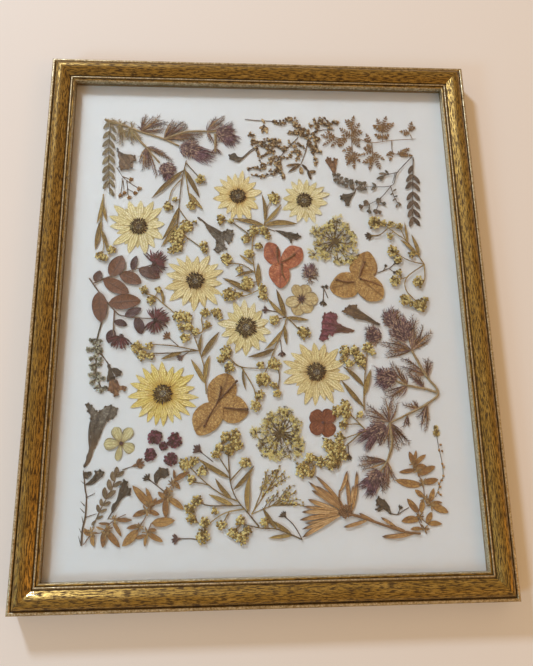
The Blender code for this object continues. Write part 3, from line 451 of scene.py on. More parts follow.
def thicken(bm):
    """A flat patch gets an underside at z 0, a top at z 1 and a rim."""
    grown = bmesh.ops.extrude_face_region(bm, geom=bm.faces[:], use_keep_orig=True)["geom"]
    bmesh.ops.translate(bm, vec=(0, 0, 1), verts=[v for v in grown if isinstance(v, bmesh.types.BMVert)])
    return bm


def leaf_blank(steps, ribs):
    bm = bmesh.new()
    bmesh.ops.create_grid(bm, x_segments=steps, y_segments=ribs, size=0.5)
    bmesh.ops.translate(bm, vec=(0.5, 0, 0), verts=bm.verts)
    return Blank(thicken(bm))


def stem_blank(steps, sides):
    bm = bmesh.new()
    bmesh.ops.create_cone(bm, cap_ends=True, segments=sides, radius1=1, radius2=1, depth=1)
    lengthwise = [e for e in bm.edges if abs(e.verts[0].co.z - e.verts[1].co.z) > 0.5]
    bmesh.ops.subdivide_edges(bm, edges=lengthwise, cuts=steps - 1)
    bmesh.ops.rotate(bm, cent=(0, 0, 0), matrix=Matrix.Rotation(pi / 2, 3, "Y"), verts=bm.verts)
    bmesh.ops.translate(bm, vec=(0.5, 0, 0), verts=bm.verts)
    return Blank(bm)


def ball_blank(subdivisions):
    bm = bmesh.new()
    bmesh.ops.create_icosphere(bm, subdivisions=subdivisions, radius=1)
    return Blank(bm)


PETAL, LEAF, SLIVER = leaf_blank(10, 6), leaf_blank(7, 4), leaf_blank(4, 1)
BEAD, GRAIN = ball_blank(2), ball_blank(1)
STEM_BLANKS = {}


def smooth_line(points, steps, closed=False):
    """Points along a smooth line through the given ones."""
    points = np.array(points, float)
    ends = (points[-1:], points, points[:2]) if closed else (
        2 * points[:1] - points[1:2], points, 2 * points[-1:] - points[-2:-1])
    padded = np.vstack(ends)
    spans = len(padded) - 3
    reach = np.linspace(0, spans, steps + 1)[:-1] if closed else np.linspace(0, spans, steps + 1)
    span = np.minimum(reach.astype(int), spans - 1)
    part = (reach - span)[:, None]
    before, near, far, after = (padded[span + k] for k in range(4))
    return 0.5 * (2 * near + (far - before) * part + (2 * before - 5 * near + 4 * far - after) * part ** 2
                  + (3 * near - before - 3 * far + after) * part ** 3)


def area(points):
    nexts = np.roll(points, -1, axis=0)
    return 0.5 * sum(x0 * y1 - x1 * y0 for (x0, y0), (x1, y1) in zip(points, nexts))


def flat_sheet(outline, spacing, ragged, draw):
    """An outline, its edge torn by up to ragged, filled with even triangles and made a closed sheet.

    An edge torn so far that it crosses itself is torn again, by less.
    """
    girth = run_length(outline + outline[:1])
    rim = smooth_line(outline, max(int(girth / spacing), 3 * len(outline)), closed=True)
    rim += [[draw.uniform(-ragged, ragged), draw.uniform(-ragged, ragged)] for _ in rim]
    if area(rim) < 0:
        rim = rim[::-1]
    low, high = rim.min(axis=0), rim.max(axis=0)
    inside = [Vector((x + draw.uniform(-0.2, 0.2) * spacing, y + draw.uniform(-0.2, 0.2) * spacing))
              for x in np.arange(low[0], high[0], spacing) for y in np.arange(low[1], high[1], spacing)]
    points, _, triangles, _, _, sources = delaunay_2d_cdt(
        [Vector(point) for point in rim] + inside, [], [list(range(len(rim)))], 1, 0.02, True)
    kept = [triangle for triangle, source in zip(triangles, sources) if source]
    filled = sum(abs(area([points[i] for i in triangle])) for triangle in kept)
    if abs(filled - area(rim)) > 0.06 * area(rim) and ragged > 0.02:
        return flat_sheet(outline, spacing, ragged * 0.5, draw)
    bm = bmesh.new()
    corners = [bm.verts.new((*point, 0)) for point in points]
    for triangle in kept:
        bm.faces.new([corners[i] for i in triangle])
    bmesh.ops.delete(bm, geom=[v for v in bm.verts if not v.link_faces], context="VERTS")
    bmesh.ops.smooth_vert(bm, verts=[v for v in bm.verts if not v.is_boundary], factor=0.5,
                          use_axis_x=True, use_axis_y=True)
    return Blank(thicken(bm))


class Specimen:
    """One pressed plant: stems, leaves and buds are laid one by one and joined as a single mesh.

    Heights are above the paper. A tint from 0 to 1 tells each leaf or bud from its neighbours.
    """

    def __init__(self, seed):
        self.draw = Random(seed)
        self.points, self.maps, self.tints = [], [], []
        self.faces, self.finish_numbers = [], []
        self.count = 0

    def vary(self, low=0.0, high=1.0):
        return self.draw.uniform(low, high)

    def add(self, blank, points, along, across, tint, finish):
        points[:, 2] = np.clip(points[:, 2] + PAPER_TOP, PAPER_TOP + 0.02, GLASS_UNDER - 0.05)
        self.points.append(points)
        self.maps.append(np.column_stack((along, across)))
        self.tints.append(np.full(len(points), self.vary() if tint is None else tint))
        self.faces += [[corner + self.count for corner in face] for face in blank.faces]
        self.finish_numbers += [finish] * len(blank.faces)
        self.count += len(points)

    def leaf(self, base, tip, width, low, finish=0, tint=None, shape=(1.0, 0.8), bow=0.0, cup=0.08,
             rise=0.0, thick=PETAL_THICKNESS, blank=LEAF):
        """shape is where the leaf is widest, below 1 for near its base, and how pointed it is."""
        along, across, up = blank.points.T
        run = np.subtract(tip, base)
        length = np.hypot(*run)
        side = np.array((-run[1], run[0])) / length
        spread = np.maximum(np.sin(pi * along ** shape[0]), 0.0) ** shape[1]
        spread = np.maximum(spread, 0.06)
        flat = np.add(base, along[:, None] * run)
        flat = flat + (across * width * spread + bow * length * np.sin(pi * along))[:, None] * side
        ripple = np.sin(along * 9 + self.vary(0, 6)) * 0.05 * min(width, 6) * abs(across) * 2
        height = low + up * thick * (0.4 + 0.6 * spread) + cup * width * (2 * across) ** 2 * spread
        points = np.column_stack((flat, height + ripple + rise * along))
        self.add(blank, points, along, across + 0.5, tint, finish)

    def stem(self, path, width, tip_width, low, finish=0, tint=None, sides=6):
        steps = max(2, min(int(run_length(path) / STEM_STEP), 60), 2 * (len(path) - 1))
        if (steps, sides) not in STEM_BLANKS:
            STEM_BLANKS[steps, sides] = stem_blank(steps, sides)
        blank = STEM_BLANKS[steps, sides]
        along, y, z = blank.points.T
        line = smooth_line(path, steps)
        ahead = np.gradient(line, axis=0)
        ahead /= np.hypot(*ahead.T)[:, None]
        half = np.linspace(width, tip_width, steps + 1) / 2
        half = half * [1 + self.vary(-STEM_KNOTS, STEM_KNOTS) for _ in half]
        sway = np.array([self.vary(-STEM_KNOTS, STEM_KNOTS) for _ in half]) * half
        station = np.rint(along * steps).astype(int)
        side = np.column_stack((-ahead[:, 1], ahead[:, 0]))[station]
        flat_place = line[station] + side * (y * half[station] + sway[station])[:, None]
        height = low + STEM_FLATNESS * half[station] * (1 + z)
        self.add(blank, np.column_stack((flat_place, height)), along, y / 2 + 0.5, tint, finish)

    def bud(self, x, y, radius, low, finish=0, tint=None, tall=0.7, long=1.0, aim=None, blank=BEAD):
        """A rounded bud; long stretches it towards aim, an angle."""
        turn = self.vary(0, 2 * pi) if aim is None else aim
        px, py, pz = blank.points.T
        ahead, aside = px * radius * long, py * radius
        points = np.column_stack((x + ahead * cos(turn) - aside * sin(turn),
                                  y + ahead * sin(turn) + aside * cos(turn),
                                  low + radius * tall * (1 + pz)))
        self.add(blank, points, (pz + 1) / 2, py / 2 + 0.5, tint, finish)

    def packed(self, centre, radius, count, size, low, finish, tint=None):
        """Small buds packed side by side over a round patch."""
        for i in range(count):
            spot = around(centre, radius * (i / count) ** 0.5, i * GOLDEN_ANGLE)
            self.bud(*spot, size, low, finish, tint, blank=GRAIN)

    def sheet(self, outline, base, tip, low, finish=0, tint=None, wrinkle=0.3, spacing=1.8, ragged=0.15):
        """A petal or bract of the given outline, with its veins running from base to tip."""
        blank = flat_sheet(outline, spacing, ragged, self.draw)
        x, y, up = blank.points.T
        run = np.subtract(tip, base)
        length = np.hypot(*run)
        ahead, side = run / length, np.array((-run[1], run[0])) / length
        place = np.column_stack((x, y)) - base
        along, across = place @ ahead / length, place @ side / length
        shift = self.vary(0, 50)
        relief = np.array([noise.noise((px * 0.16 + shift, py * 0.16, 0))
                           + 0.4 * noise.noise((px * 0.5 + shift, py * 0.5, 1)) for px, py in zip(x, y)])
        height = low + up * PETAL_THICKNESS + wrinkle * (relief + 0.6)
        self.add(blank, np.column_stack((x, y, height)), along, across + 0.5, tint, finish)

    def place(self, name, slot, finishes, node=None):
        """The plant becomes a piece of the frame, in place of its CAD node if it has one."""
        mesh = bpy.data.meshes.new(name)
        mesh.from_pydata(np.vstack(self.points) * MM, [], self.faces)
        mesh.polygons.foreach_set("material_index", self.finish_numbers)
        mesh.polygons.foreach_set("use_smooth", [True] * len(self.faces))
        corners = np.empty(len(mesh.loops), int)
        mesh.loops.foreach_get("vertex_index", corners)
        mesh.uv_layers.new(name="leaf").data.foreach_set("uv", np.vstack(self.maps)[corners].ravel())
        mesh.attributes.new("tint", "FLOAT", "POINT").data.foreach_set("value", np.concatenate(self.tints))
        mesh.set_sharp_from_angle(angle=radians(CREASE))
        add_piece(name, mesh, finishes, node)


def plant(name, *colours, ribs=0, feather=0, vein=None, base=None, base_reach=0.3, tip=None, tip_reach=0.75,
          edge=None, edge_width=0.25, net=None, roughness=0.75, blotch=0.35, grain=0.6):
    """The finish of a dried leaf or petal.

    colours run with the tint. ribs are veins along it, feather veins leave the midrib and net is the colour
    of the finest veins; base, tip and edge are the colours that it turns there.
    """
    finish = Finish(name, roughness)
    tint = finish.node("Attribute", dict(attribute_name="tint"), {}, 2)
    along, across = finish.flat_map("leaf")
    cloud, speckle = finish.noise(0.22, 3), finish.noise(grain, 4)
    spread = tint * (1 - blotch) + (cloud * 1.6 - 0.3) * blotch + (speckle - 0.5) * 1.7
    stops = [(0.12 + 0.76 * i / max(len(colours) - 1, 1), tone(*colour)) for i, colour in enumerate(colours)]
    colour = finish.ramp(spread, *stops)
    off_middle = abs(across - 0.5) * 2
    relief = speckle * 0.5
    if base:
        share = (base_reach - along + (speckle - 0.5) * 0.3).between(-0.1, base_reach * 0.7)
        colour = finish.mix(share, colour, tone(*base))
    if tip:
        share = (along + (speckle - 0.5) * 0.3).between(tip_reach - 0.1, 1.0)
        colour = finish.mix(share, colour, tone(*tip))
    if edge:
        share = (off_middle + (cloud - 0.5) * 0.5).between(1 - edge_width, 1.02) * 0.85
        colour = finish.mix(share, colour, tone(*edge))
    if net:
        cells = finish.node("TexVoronoi", dict(feature="DISTANCE_TO_EDGE"),
                            {"Vector": finish.place(), "Scale": 0.75})
        mesh = cells.between(0.16, 0.03) * (cloud + 0.1)
        colour = finish.mix(mesh, colour, tone(*net))
        relief += mesh * 0.4
    if ribs:
        lines = (across * ribs * 2 * pi + cloud * 1.5).sine().between(0.35, 1.0)
        colour = finish.mix(lines * 0.65, colour, tone(*vein))
        relief += lines * 0.5
    if feather:
        midrib = off_middle.between(0.12, 0.03)
        lines = (along * feather * 2 * pi - off_middle * 5).sine().between(0.6, 1.0)
        lines = lines.maths("MAXIMUM", lines * 0.6, midrib)
        colour = finish.mix(lines * 0.7, colour, tone(*vein))
        relief += lines * 0.5
    finish.set(Base_Color=colour, Roughness=roughness + (speckle - 0.5) * 0.2)
    finish.bump(relief, 0.25)
    return finish


DAISIES = {  # centre, eye radius, petal tips
    "daisy_1": ((-127, 86), 7.3,
        [(-126, 115), (-113, 114), (-104, 107), (-101, 89), (-102, 73), (-110, 63), (-119, 56), (-136, 57),
         (-152, 66), (-156, 86), (-157, 97), (-153, 109), (-138, 114)]),
    "daisy_2": ((-26, 121), 6.9,
        [(-21, 151), (-29, 147), (-37, 145), (-45, 140), (-51, 131), (-52, 118), (-47, 107), (-38, 101),
         (-33, 95), (-24, 93), (-13, 94), (-5, 107), (-1, 127), (-7, 137), (-14, 144)]),
    "daisy_3": ((43, 117), 6.9,
        [(30, 139), (38, 142), (47, 141), (57, 138), (65, 133), (71, 125), (68, 114), (61, 101), (54, 91),
         (45, 92), (35, 92), (27, 98), (20, 106), (21, 119), (24, 130)]),
    "daisy_4": ((-69, 28), 7.3,
        [(-78, 55), (-67, 54), (-55, 55), (-46, 46), (-41, 39), (-42, 25), (-43, 14), (-47, 3), (-59, 0),
         (-70, -4), (-81, 2), (-94, 7), (-99, 20), (-98, 35), (-96, 46), (-88, 52)]),
    "daisy_5": ((-18.5, -20), 8.6,
        [(-31, 6), (-20, 9), (-10, 5), (-3, -3), (4, -13), (6, -26), (1, -35), (-6, -43), (-19, -49),
         (-29, -46), (-38, -38), (-43, -29), (-47, -16), (-37, -5)]),
    "daisy_6": ((-98, -85), 7.8,
        [(-100, -54), (-110, -56), (-118, -60), (-124, -67), (-129, -75), (-131, -88), (-128, -98),
         (-120, -107), (-112, -112), (-104, -115), (-97, -116), (-88, -113), (-80, -110), (-72, -106),
         (-66, -98), (-64, -89), (-68, -79), (-69, -67), (-79, -60), (-89, -59)]),
    "daisy_7": ((49.5, -65), 7.8,
        [(34, -37), (48, -36), (59, -37), (72, -42), (77, -56), (82, -71), (76, -85), (65, -96), (57, -93),
         (47, -98), (37, -97), (30, -87), (17, -76), (17, -65), (17, -54), (25, -46)]),
}
PETAL_WIDTHS = (6.0, 8.4)  # narrowest and widest
EYE_DOME = 1.5
EYE_FLORETS = 180
EYE_SPIKES = 34  # thin florets that stand out round the eye

pale_petals = plant(
    "pale_daisy_petal", (210, 189, 130), (232, 217, 159), (246, 234, 194), ribs=3, vein=(180, 146, 82),
    base=(203, 168, 90), base_reach=0.22, edge=(156, 121, 64), edge_width=0.16, net=(184, 153, 88),
    roughness=0.6)
bright_petals = plant(
    "bright_daisy_petal", (210, 185, 92), (234, 213, 121), (246, 230, 165), ribs=3, vein=(177, 129, 43),
    base=(200, 155, 31), base_reach=0.42, edge=(166, 125, 53), edge_width=0.16, net=(185, 143, 56),
    roughness=0.6)
tan_petals = plant(
    "tan_daisy_petal", (212, 189, 131), (232, 213, 152), (244, 229, 179), ribs=3, vein=(175, 138, 74),
    base=(181, 138, 69), base_reach=0.32, edge=(160, 123, 68), edge_width=0.16, net=(179, 144, 80),
    roughness=0.6)
patched_petals = plant(
    "patched_daisy_petal", (212, 189, 124), (234, 215, 152), (246, 232, 184), ribs=3, vein=(185, 140, 63),
    base=(200, 143, 38), base_reach=0.4, edge=(162, 123, 58), edge_width=0.16, net=(186, 149, 79),
    roughness=0.6)
eye_florets = plant(
    "daisy_eye_floret", (186, 167, 116), (117, 93, 56), (76, 53, 33), (43, 28, 21), roughness=0.9,
    blotch=0.1, grain=1)
DAISY_PETALS = {"daisy_2": patched_petals, "daisy_4": tan_petals, "daisy_6": bright_petals,
                "daisy_7": tan_petals}

for number, (daisy_name, (centre, eye, tips)) in enumerate(DAISIES.items(), 1):
    daisy = Specimen(number)
    petals = sorted(way(centre, tip)[::-1] for tip in tips)
    # The under row takes the darker tints: painted shade under the upper row.
    for row, (share, low, tint) in enumerate(((0.76, 0.12, (0.0, 0.3)), (1.0, 0.36, (0.35, 1.0)))):
        for i, (bearing, reach) in enumerate(petals):
            next_bearing, next_reach = petals[(i + 1) % len(petals)]
            gap = (next_bearing - bearing) % (2 * pi)
            before = (bearing - petals[i - 1][0]) % (2 * pi)
            width = min(max(reach * (gap + before) / 2 * 0.62, PETAL_WIDTHS[0]), PETAL_WIDTHS[1])
            if row == 0:  # the under row shows between the petals of the upper one
                width, bearing, reach = width * 0.8, bearing + gap / 2, (reach + next_reach) / 2
            daisy.leaf(around(centre, eye * 0.4, bearing), around(centre, reach * share, bearing), width,
                       low + 0.12 * (i % 3), shape=(1.1, 0.66), tint=daisy.vary(*tint),
                       bow=daisy.vary(-0.035, 0.035), cup=0.02, rise=-0.1, thick=0.2, blank=PETAL)
    for i in range(EYE_FLORETS):
        out = ((i + 0.5) / EYE_FLORETS) ** 0.5
        x, y = around(centre, eye * out, i * GOLDEN_ANGLE)
        ring = min(max((out - 0.35) * 1.9, 0), 1)
        tint = 0 if daisy.vary() < 0.15 else min(0.42 + ring * 0.2 + daisy.vary(0.0, 0.5), 1)
        daisy.bud(x, y, eye * daisy.vary(0.055, 0.08), 0.7 + EYE_DOME * (1 - out ** 4), 1, tint, tall=1.4,
                  blank=GRAIN)
    for i in range(EYE_SPIKES):
        aim = i / EYE_SPIKES * 2 * pi + daisy.vary(-0.08, 0.08)
        daisy.leaf(around(centre, eye * 0.85, aim), around(centre, eye * daisy.vary(1.1, 1.45), aim), 1.0,
                   1.0, 1, daisy.vary(0.75, 1.0), blank=SLIVER)
    daisy.place(daisy_name + "_flower", "daisy",
                [DAISY_PETALS.get(daisy_name, pale_petals), eye_florets], daisy_name)


# -------------------- golden everlasting sprays
# Sprigs of a golden everlasting: thin woody stems, a few spear leaves, and flat clusters of small round
# dry flower heads on short stalks. Most clusters overlap a neighbour.

SPRAYS = {  # height above the paper, stems, leaves, clusters
    "golden_spray_left_edge": (0.9,
        [[(-164, 121), (-165, 100), (-164, 82), (-161, 66), (-162, 54)], [(-160, 70), (-153, 61)]],
        [(-165, 92, -169, 60, 5), (-165, 117, -169, 88, 3.5), (-164, 112, -159, 90, 3.2),
         (-163, 82, -157, 57, 3.2)], [(-164, 54, 5), (-159, 51, 4), (-153, 60, 5)]),
    "golden_spray_upper_left": (0.9,
        [[(-80, 161), (-84, 140), (-86, 120), (-88, 84)], [(-79, 158), (-66, 141)],
         [(-80, 152), (-77, 122), (-74, 110)], [(-83, 140), (-94, 127), (-98, 110)],
         [(-87, 106), (-77, 92), (-69, 91)], [(-83, 78), (-66, 65)]],
        [(-82, 150, -115, 117, 5), (-80, 150, -66, 119, 5), (-78, 124, -62, 105, 5),
         (-87, 108, -103, 71, 4.5), (-88, 90, -104, 63, 4)],
        [(-65, 139, 6), (-74, 109, 5.5), (-98, 108, 5.5), (-91, 116, 3), (-79, 86, 8), (-87, 76, 8),
         (-88, 72, 8.5), (-93, 60, 5), (-86, 62, 5), (-61, 66, 4.5), (-60, 60, 4), (-70, 91, 2),
         (-95, 70, 2)]),
    "golden_spray_centre": (0.9,
        [[(1, 88), (3, 103), (8, 117)], [(1, 88), (-9, 80), (-12, 62), (-10, 42), (-6, 22), (3, 6)],
         [(-44, 92), (-34, 92), (-14, 77), (-9.5, 70)], [(-38, 46), (-22, 45), (-11, 36)],
         [(-33, 14), (-20, 12), (-6, 18)]],
        [(1, 88, -31, 95, 5), (0, 92, -1, 123, 4), (2, 90, 19, 112, 4), (3, 88, 35, 90, 6),
         (-6, 22, -6, 47, 5), (-16, 23, -42, 31, 5), (-10, 38, -29, 32, 3.5), (-11, 45, -25, 56, 3)],
        [(11, 119, 7.5), (-10, 82, 6.5), (0, 82, 5.5), (4, 76, 4), (-18, 73, 5.5), (-15, 57, 5.5),
         (-5, 65, 4.5), (-38, 51, 7), (-25, 40, 4), (-35, 13, 8.5), (-17, 25, 8), (-25, 13, 3.5),
         (-2, 20, 5), (-2, 12, 5), (-44, 96, 4.5), (-44, 90, 3), (-33, 92, 3.5)]),
    "golden_spray_right": (1.5,
        [[(165, 46), (158, 58), (148, 72), (138, 80), (124, 91)], [(165, 46), (150, 50), (136, 58)],
         [(165, 46), (146, 32), (144, 18), (156, 4)], [(165, 46), (164, 30), (160, 24)],
         [(148, 72), (142, 88)], [(142, 76), (131, 78)], [(110, 77), (120, 78), (130, 86)],
         [(147, 32), (134, 28)]], [(161, 54, 154, 79, 4), (158, 54, 142, 73, 4), (150, 70, 148, 93, 2.5)],
        [(116, 92, 8), (125, 91, 4.5), (133, 90, 4.5), (142, 88, 4.5), (131, 77, 4), (133, 60, 7),
         (138, 51, 5), (152, 56, 4), (133, 28, 6.5), (138, 37, 4), (157, 27, 6.5), (142, 8, 7),
         (157, 2, 7.5), (163, 8, 3.5), (149, 4, 4)]),
    "golden_spray_left": (0.9,
        [[(-57, -86), (-59, -62), (-64, -44), (-70, -28), (-80, -12)],
         [(-64, -44), (-88, -39), (-112, -37)], [(-66, -45), (-95, -46), (-120, -46)],
         [(-70, -28), (-61, -24), (-62, -10), (-52, -5)], [(-117, 14), (-108, 11), (-100, 4), (-86, -8)]],
        [(-60, -50, -45, -25, 5), (-57, -74, -54, -48, 4.5), (-58, -76, -72, -52, 4.5),
         (-80, -45, -101, -52, 4), (-61, -45, -62, -27, 3), (-62, -23, -51, -18, 3),
         (-100, 4, -103, 20, 3)],
        [(-119, 18, 5), (-112, 7, 5), (-105, 18, 3.5), (-84, -9, 7), (-76, -10, 5.5), (-82, -20, 4.5),
         (-74, -20, 5), (-68, -25, 4.5), (-78, -31, 5), (-59, -5, 5), (-48, -5, 5.5), (-44, -10, 3.5),
         (-57, -17, 3.5), (-124, -40, 6.5), (-119, -48, 6), (-112, -39, 4.5), (-110, -49, 4)]),
    "golden_spray_middle": (0.9,
        [[(22, -10), (18, -22), (10, -40), (3, -58), (-3, -70)], [(22, -10), (8, -13)],
         [(22, -10), (38, -27)], [(-34, -52), (-23, -60), (2, -62)], [(-24, -60), (-12, -80), (-9, -96)],
         [(8, -56), (13, -66), (11, -86)]],
        [(20, -8, 12, 19, 5), (22, -9, 3, 10, 4), (22, -10, 44, -13, 4), (17, -22, -1, -43, 4),
         (9, -42, -17, -50, 4.5), (20, -18, 21, -38, 3.5), (-22, -62, -19, -83, 2.5)],
        [(9, -13, 6), (38, -26, 7.5), (8, -57, 7), (-3, -72, 8), (8, -78, 4), (11, -86, 4.5), (-5, -58, 4),
         (-38, -45, 7), (-43, -52, 4.5), (-35, -60, 6), (-6, -87, 5), (-10, -97, 6)]),
    "golden_spray_by_daisy": (0.9, [[(94, -103), (95, -84), (98, -60), (101, -42)], [(97, -64), (85, -46)]],
        [(95, -90, 103, -63, 5), (94, -100, 73, -73, 4.5), (95, -80, 76, -60, 4.5)],
        [(78, -44, 6), (88, -45, 6), (93, -54, 7), (82, -57, 4.5), (101, -41, 6), (106, -46, 3.5),
         (76, -52, 4)]),
    "golden_spray_lower_right": (0.9,
        [[(95, -122), (82, -108), (70, -100)], [(96, -119), (88, -116), (76, -116)],
         [(92, -127), (74, -129)], [(91, -127), (75, -136), (60, -146), (35, -157)]],
        [(71, -136, 52, -128, 4), (71, -146, 66, -158, 4), (50, -149, 38, -143, 3.5),
         (44, -152, 42, -165, 3)],
        [(68, -103, 6), (76, -98, 6), (77, -107, 5), (73, -116, 5), (69, -128, 5.5), (58, -135, 6.5),
         (68, -138, 7), (62, -145, 7), (72, -146, 5), (60, -153, 6), (50, -150, 5.5), (40, -147, 5.5),
         (33, -157, 8), (40, -161, 4), (90, -107, 4)]),
    "golden_spray_bottom": (0.9,
        [[(-8, -207), (-18, -195), (-28, -183), (-34, -168), (-36, -144)],
         [(-28, -186), (-42, -178), (-56, -168), (-74, -151)], [(-35, -160), (-47, -141)],
         [(-33, -166), (-20, -151)], [(-26, -190), (-52, -188), (-64, -184)],
         [(-22, -192), (-40, -195), (-57, -206)], [(31, -219), (10, -210), (-8, -208), (-24, -204)],
         [(-72, -166), (-54, -170)], [(-35, -196), (-42, -205)]],
        [(-36, -164, -64, -146, 4.5), (-33, -182, -48, -164, 4), (-31, -186, -54, -178, 4.5),
         (-18, -195, -16, -161, 5), (-30, -174, -12, -153, 4), (8, -208, -5, -190, 4),
         (22, -215, 4, -202, 4), (22, -215, 0, -217, 3.5)],
        [(-76, -151, 6.5), (-68, -148, 5), (-60, -157, 5.5), (-70, -164, 4.5), (-48, -142, 5),
         (-44, -136, 4.5), (-38, -126, 5.5), (-29, -124, 5.5), (-28, -134, 6.5), (-35, -138, 6.5),
         (-20, -150, 6), (-64, -183, 5.5), (-71, -190, 5.5), (-69, -199, 5), (-48, -193, 3.5),
         (-57, -202, 5.5), (-59, -214, 7), (-42, -205, 5), (-25, -201, 5), (-32, -212, 5.5),
         (-24, -216, 6.5), (-19, -210, 4.5), (-3, -203, 5)]),
}
HEAD_RADIUS = 1.15  # of one dry flower head
HEAD_FLORETS = 6  # round each head
HEADS_PER_SQUARE = 0.58  # times a cluster's radius squared, in millimetres
STEM_REACH = 6  # a stem that starts or ends this near another grows out of it

spray_stalk = plant(
    "spray_stem_and_leaf", (93, 67, 30), (137, 107, 52), (173, 142, 80), feather=0.02, vein=(91, 65, 30),
    edge=(86, 60, 26), roughness=0.8)
# On each round head the base colour darkens its lower part: its calyx, and painted shade in the gaps between
# the heads.
spray_heads = plant(
    "golden_flower_head", (92, 68, 26), (152, 122, 58), (188, 160, 90), (214, 194, 132), base=(93, 67, 26),
    base_reach=0.4, roughness=0.85, grain=1.0, blotch=0.1)


def nearest_on(paths, point):
    """The nearest point of any of the stems, and how far it is."""
    best, gap = point, float("inf")
    for path in paths:
        for start, end in zip(path, path[1:]):
            length, aim = way(start, end)
            ahead = (point[0] - start[0]) * cos(aim) + (point[1] - start[1]) * sin(aim)
            foot = part_way(start, end, min(max(ahead / length, 0), 1))
            distance = way(foot, point)[0]
            if distance < gap:
                best, gap = foot, distance
    return best, gap


def branch(sprig, stems, leaves, width, low, shape=(0.85, 0.75)):
    """Stems that grow out of one another, and leaves that grow out of the nearest stem."""
    grown = [[tuple(point) for point in stems[0]]]
    for path in stems[1:]:
        ends = []
        for end in (path[0], path[-1]):
            foot, gap = nearest_on(grown, end)
            ends.append(foot if gap < STEM_REACH else end)
        grown.append([ends[0], *path[1:-1], ends[1]])
    for path in grown:
        sprig.stem(path, width, width * 0.75, low)
    for x0, y0, x1, y1, across in leaves:
        foot, _ = nearest_on(grown, (x0, y0))
        sprig.leaf(foot, (x1, y1), across, low + sprig.vary(0, 0.3), shape=shape,
                   bow=sprig.vary(-0.06, 0.06))
    return grown


def flower_cluster(sprig, x, y, radius, low, foot):
    """Dry heads packed side by side over a low dome, on stalks that meet below it."""
    heads = max(int(radius ** 2 * HEADS_PER_SQUARE), 3)
    phase = sprig.vary(0, 2 * pi)
    for i in range(heads):
        out = ((i + 0.6) / heads) ** 0.5
        head = around((x, y), radius * out * sprig.vary(0.7, 0.98), phase + i * GOLDEN_ANGLE)
        size = HEAD_RADIUS * sprig.vary(0.8, 1.2)
        height = low + 0.8 * (1 - out ** 2) + sprig.vary(-0.2, 0.25)
        sprig.stem([foot, head], 0.5, 0.5, low - 0.2, sides=3)
        tint = sprig.vary()
        sprig.bud(*head, size, height, 1, tint, tall=0.62)
        for k in range(HEAD_FLORETS):
            floret = around(head, size * 0.8, k * 2 * pi / HEAD_FLORETS + phase + i)
            floret_tint = min(max(tint + sprig.vary(-0.35, 0.25), 0), 1)
            sprig.bud(*floret, size * 0.42, height + 0.1, 1, floret_tint, tall=0.8, blank=GRAIN)


for number, (spray_name, (low, stems, leaves, clusters)) in enumerate(SPRAYS.items(), 11):
    spray = Specimen(number)
    grown = branch(spray, stems, leaves, 1.3, low)
    for x, y, radius in clusters:
        foot, gap = nearest_on(grown, (x, y))
        if gap > 1:
            spray.stem([foot, (x, y)], 1.0, 0.8, low)
        flower_cluster(spray, x, y, radius, low + 0.1, part_way(foot, (x, y), 0.5))
    spray.place(spray_name + "_sprig", "golden_spray", [spray_stalk, spray_heads], spray_name)

TWIG_SPRAY_TIPS = [
    (-1, -159), (3, -161), (7, -157), (11, -155), (15, -160), (18, -164), (13, -167), (5, -170), (0, -168),
    (-5, -170), (22, -172), (24, -178), (17, -175), (28, -184), (32, -189), (24, -189), (10, -178),
    (14, -182), (20, -182), (-2, -178), (3, -183)]
TWIG_BUDS = 7  # on each twig
TWIG_SPRAY_FOOT = (-15, -196)
TWIG_SPRAY_STEMS = [
    [TWIG_SPRAY_FOOT, (2, -172), (11, -158)], [(-13, -193), (-6, -177), (0, -162)],
    [TWIG_SPRAY_FOOT, (8, -188), (30, -188)]]
twig_spray = Specimen(21)
grown = branch(twig_spray, TWIG_SPRAY_STEMS, [], 0.9, 0.2)
for x, y in TWIG_SPRAY_TIPS:
    foot, _ = nearest_on(grown, part_way((x, y), TWIG_SPRAY_FOOT, 0.45))
    bend = ((foot[0] + x) / 2 + twig_spray.vary(-1.5, 1.5), (foot[1] + y) / 2)
    twig_spray.stem([foot, bend, (x, y)], 0.7, 0.5, 0.3)
    for i in range(TWIG_BUDS):
        start = part_way(bend, (x, y), i / (TWIG_BUDS - 1))
        end = around(start, twig_spray.vary(1.5, 3), twig_spray.vary(-0.6, 2.2))
        twig_spray.stem([start, end], 0.4, 0.4, 0.4, sides=3)
        twig_spray.bud(*end, twig_spray.vary(0.6, 1.0), 0.4, 1, long=1.3, aim=1.0, blank=GRAIN)
twig_spray.place("fine_twig_spray_sprig", "golden_spray", [spray_stalk, spray_heads], "fine_twig_spray")


# -------------------- lace umbels
# Two flat umbels of a lace flower, pressed face down: rays from one hub carry small umbels of tiny
# greenish-cream florets.

UMBELS = {  # centre, radius, first angle, height
    "lace_umbel_upper": ((73, 71), 30, 0.2, 0.5),
    "lace_umbel_lower": ((13, -124), 28, 0.5, 0.2),
}
RAYS = 26
FLORET_PETALS = 4

umbel_stalk = plant("umbel_ray", (71, 51, 25), (97, 75, 35), (123, 100, 50), roughness=0.8)
umbel_floret = plant(
    "umbel_floret", (62, 44, 14), (122, 98, 40), (180, 154, 80), (222, 202, 130), roughness=0.8, blotch=0.1)


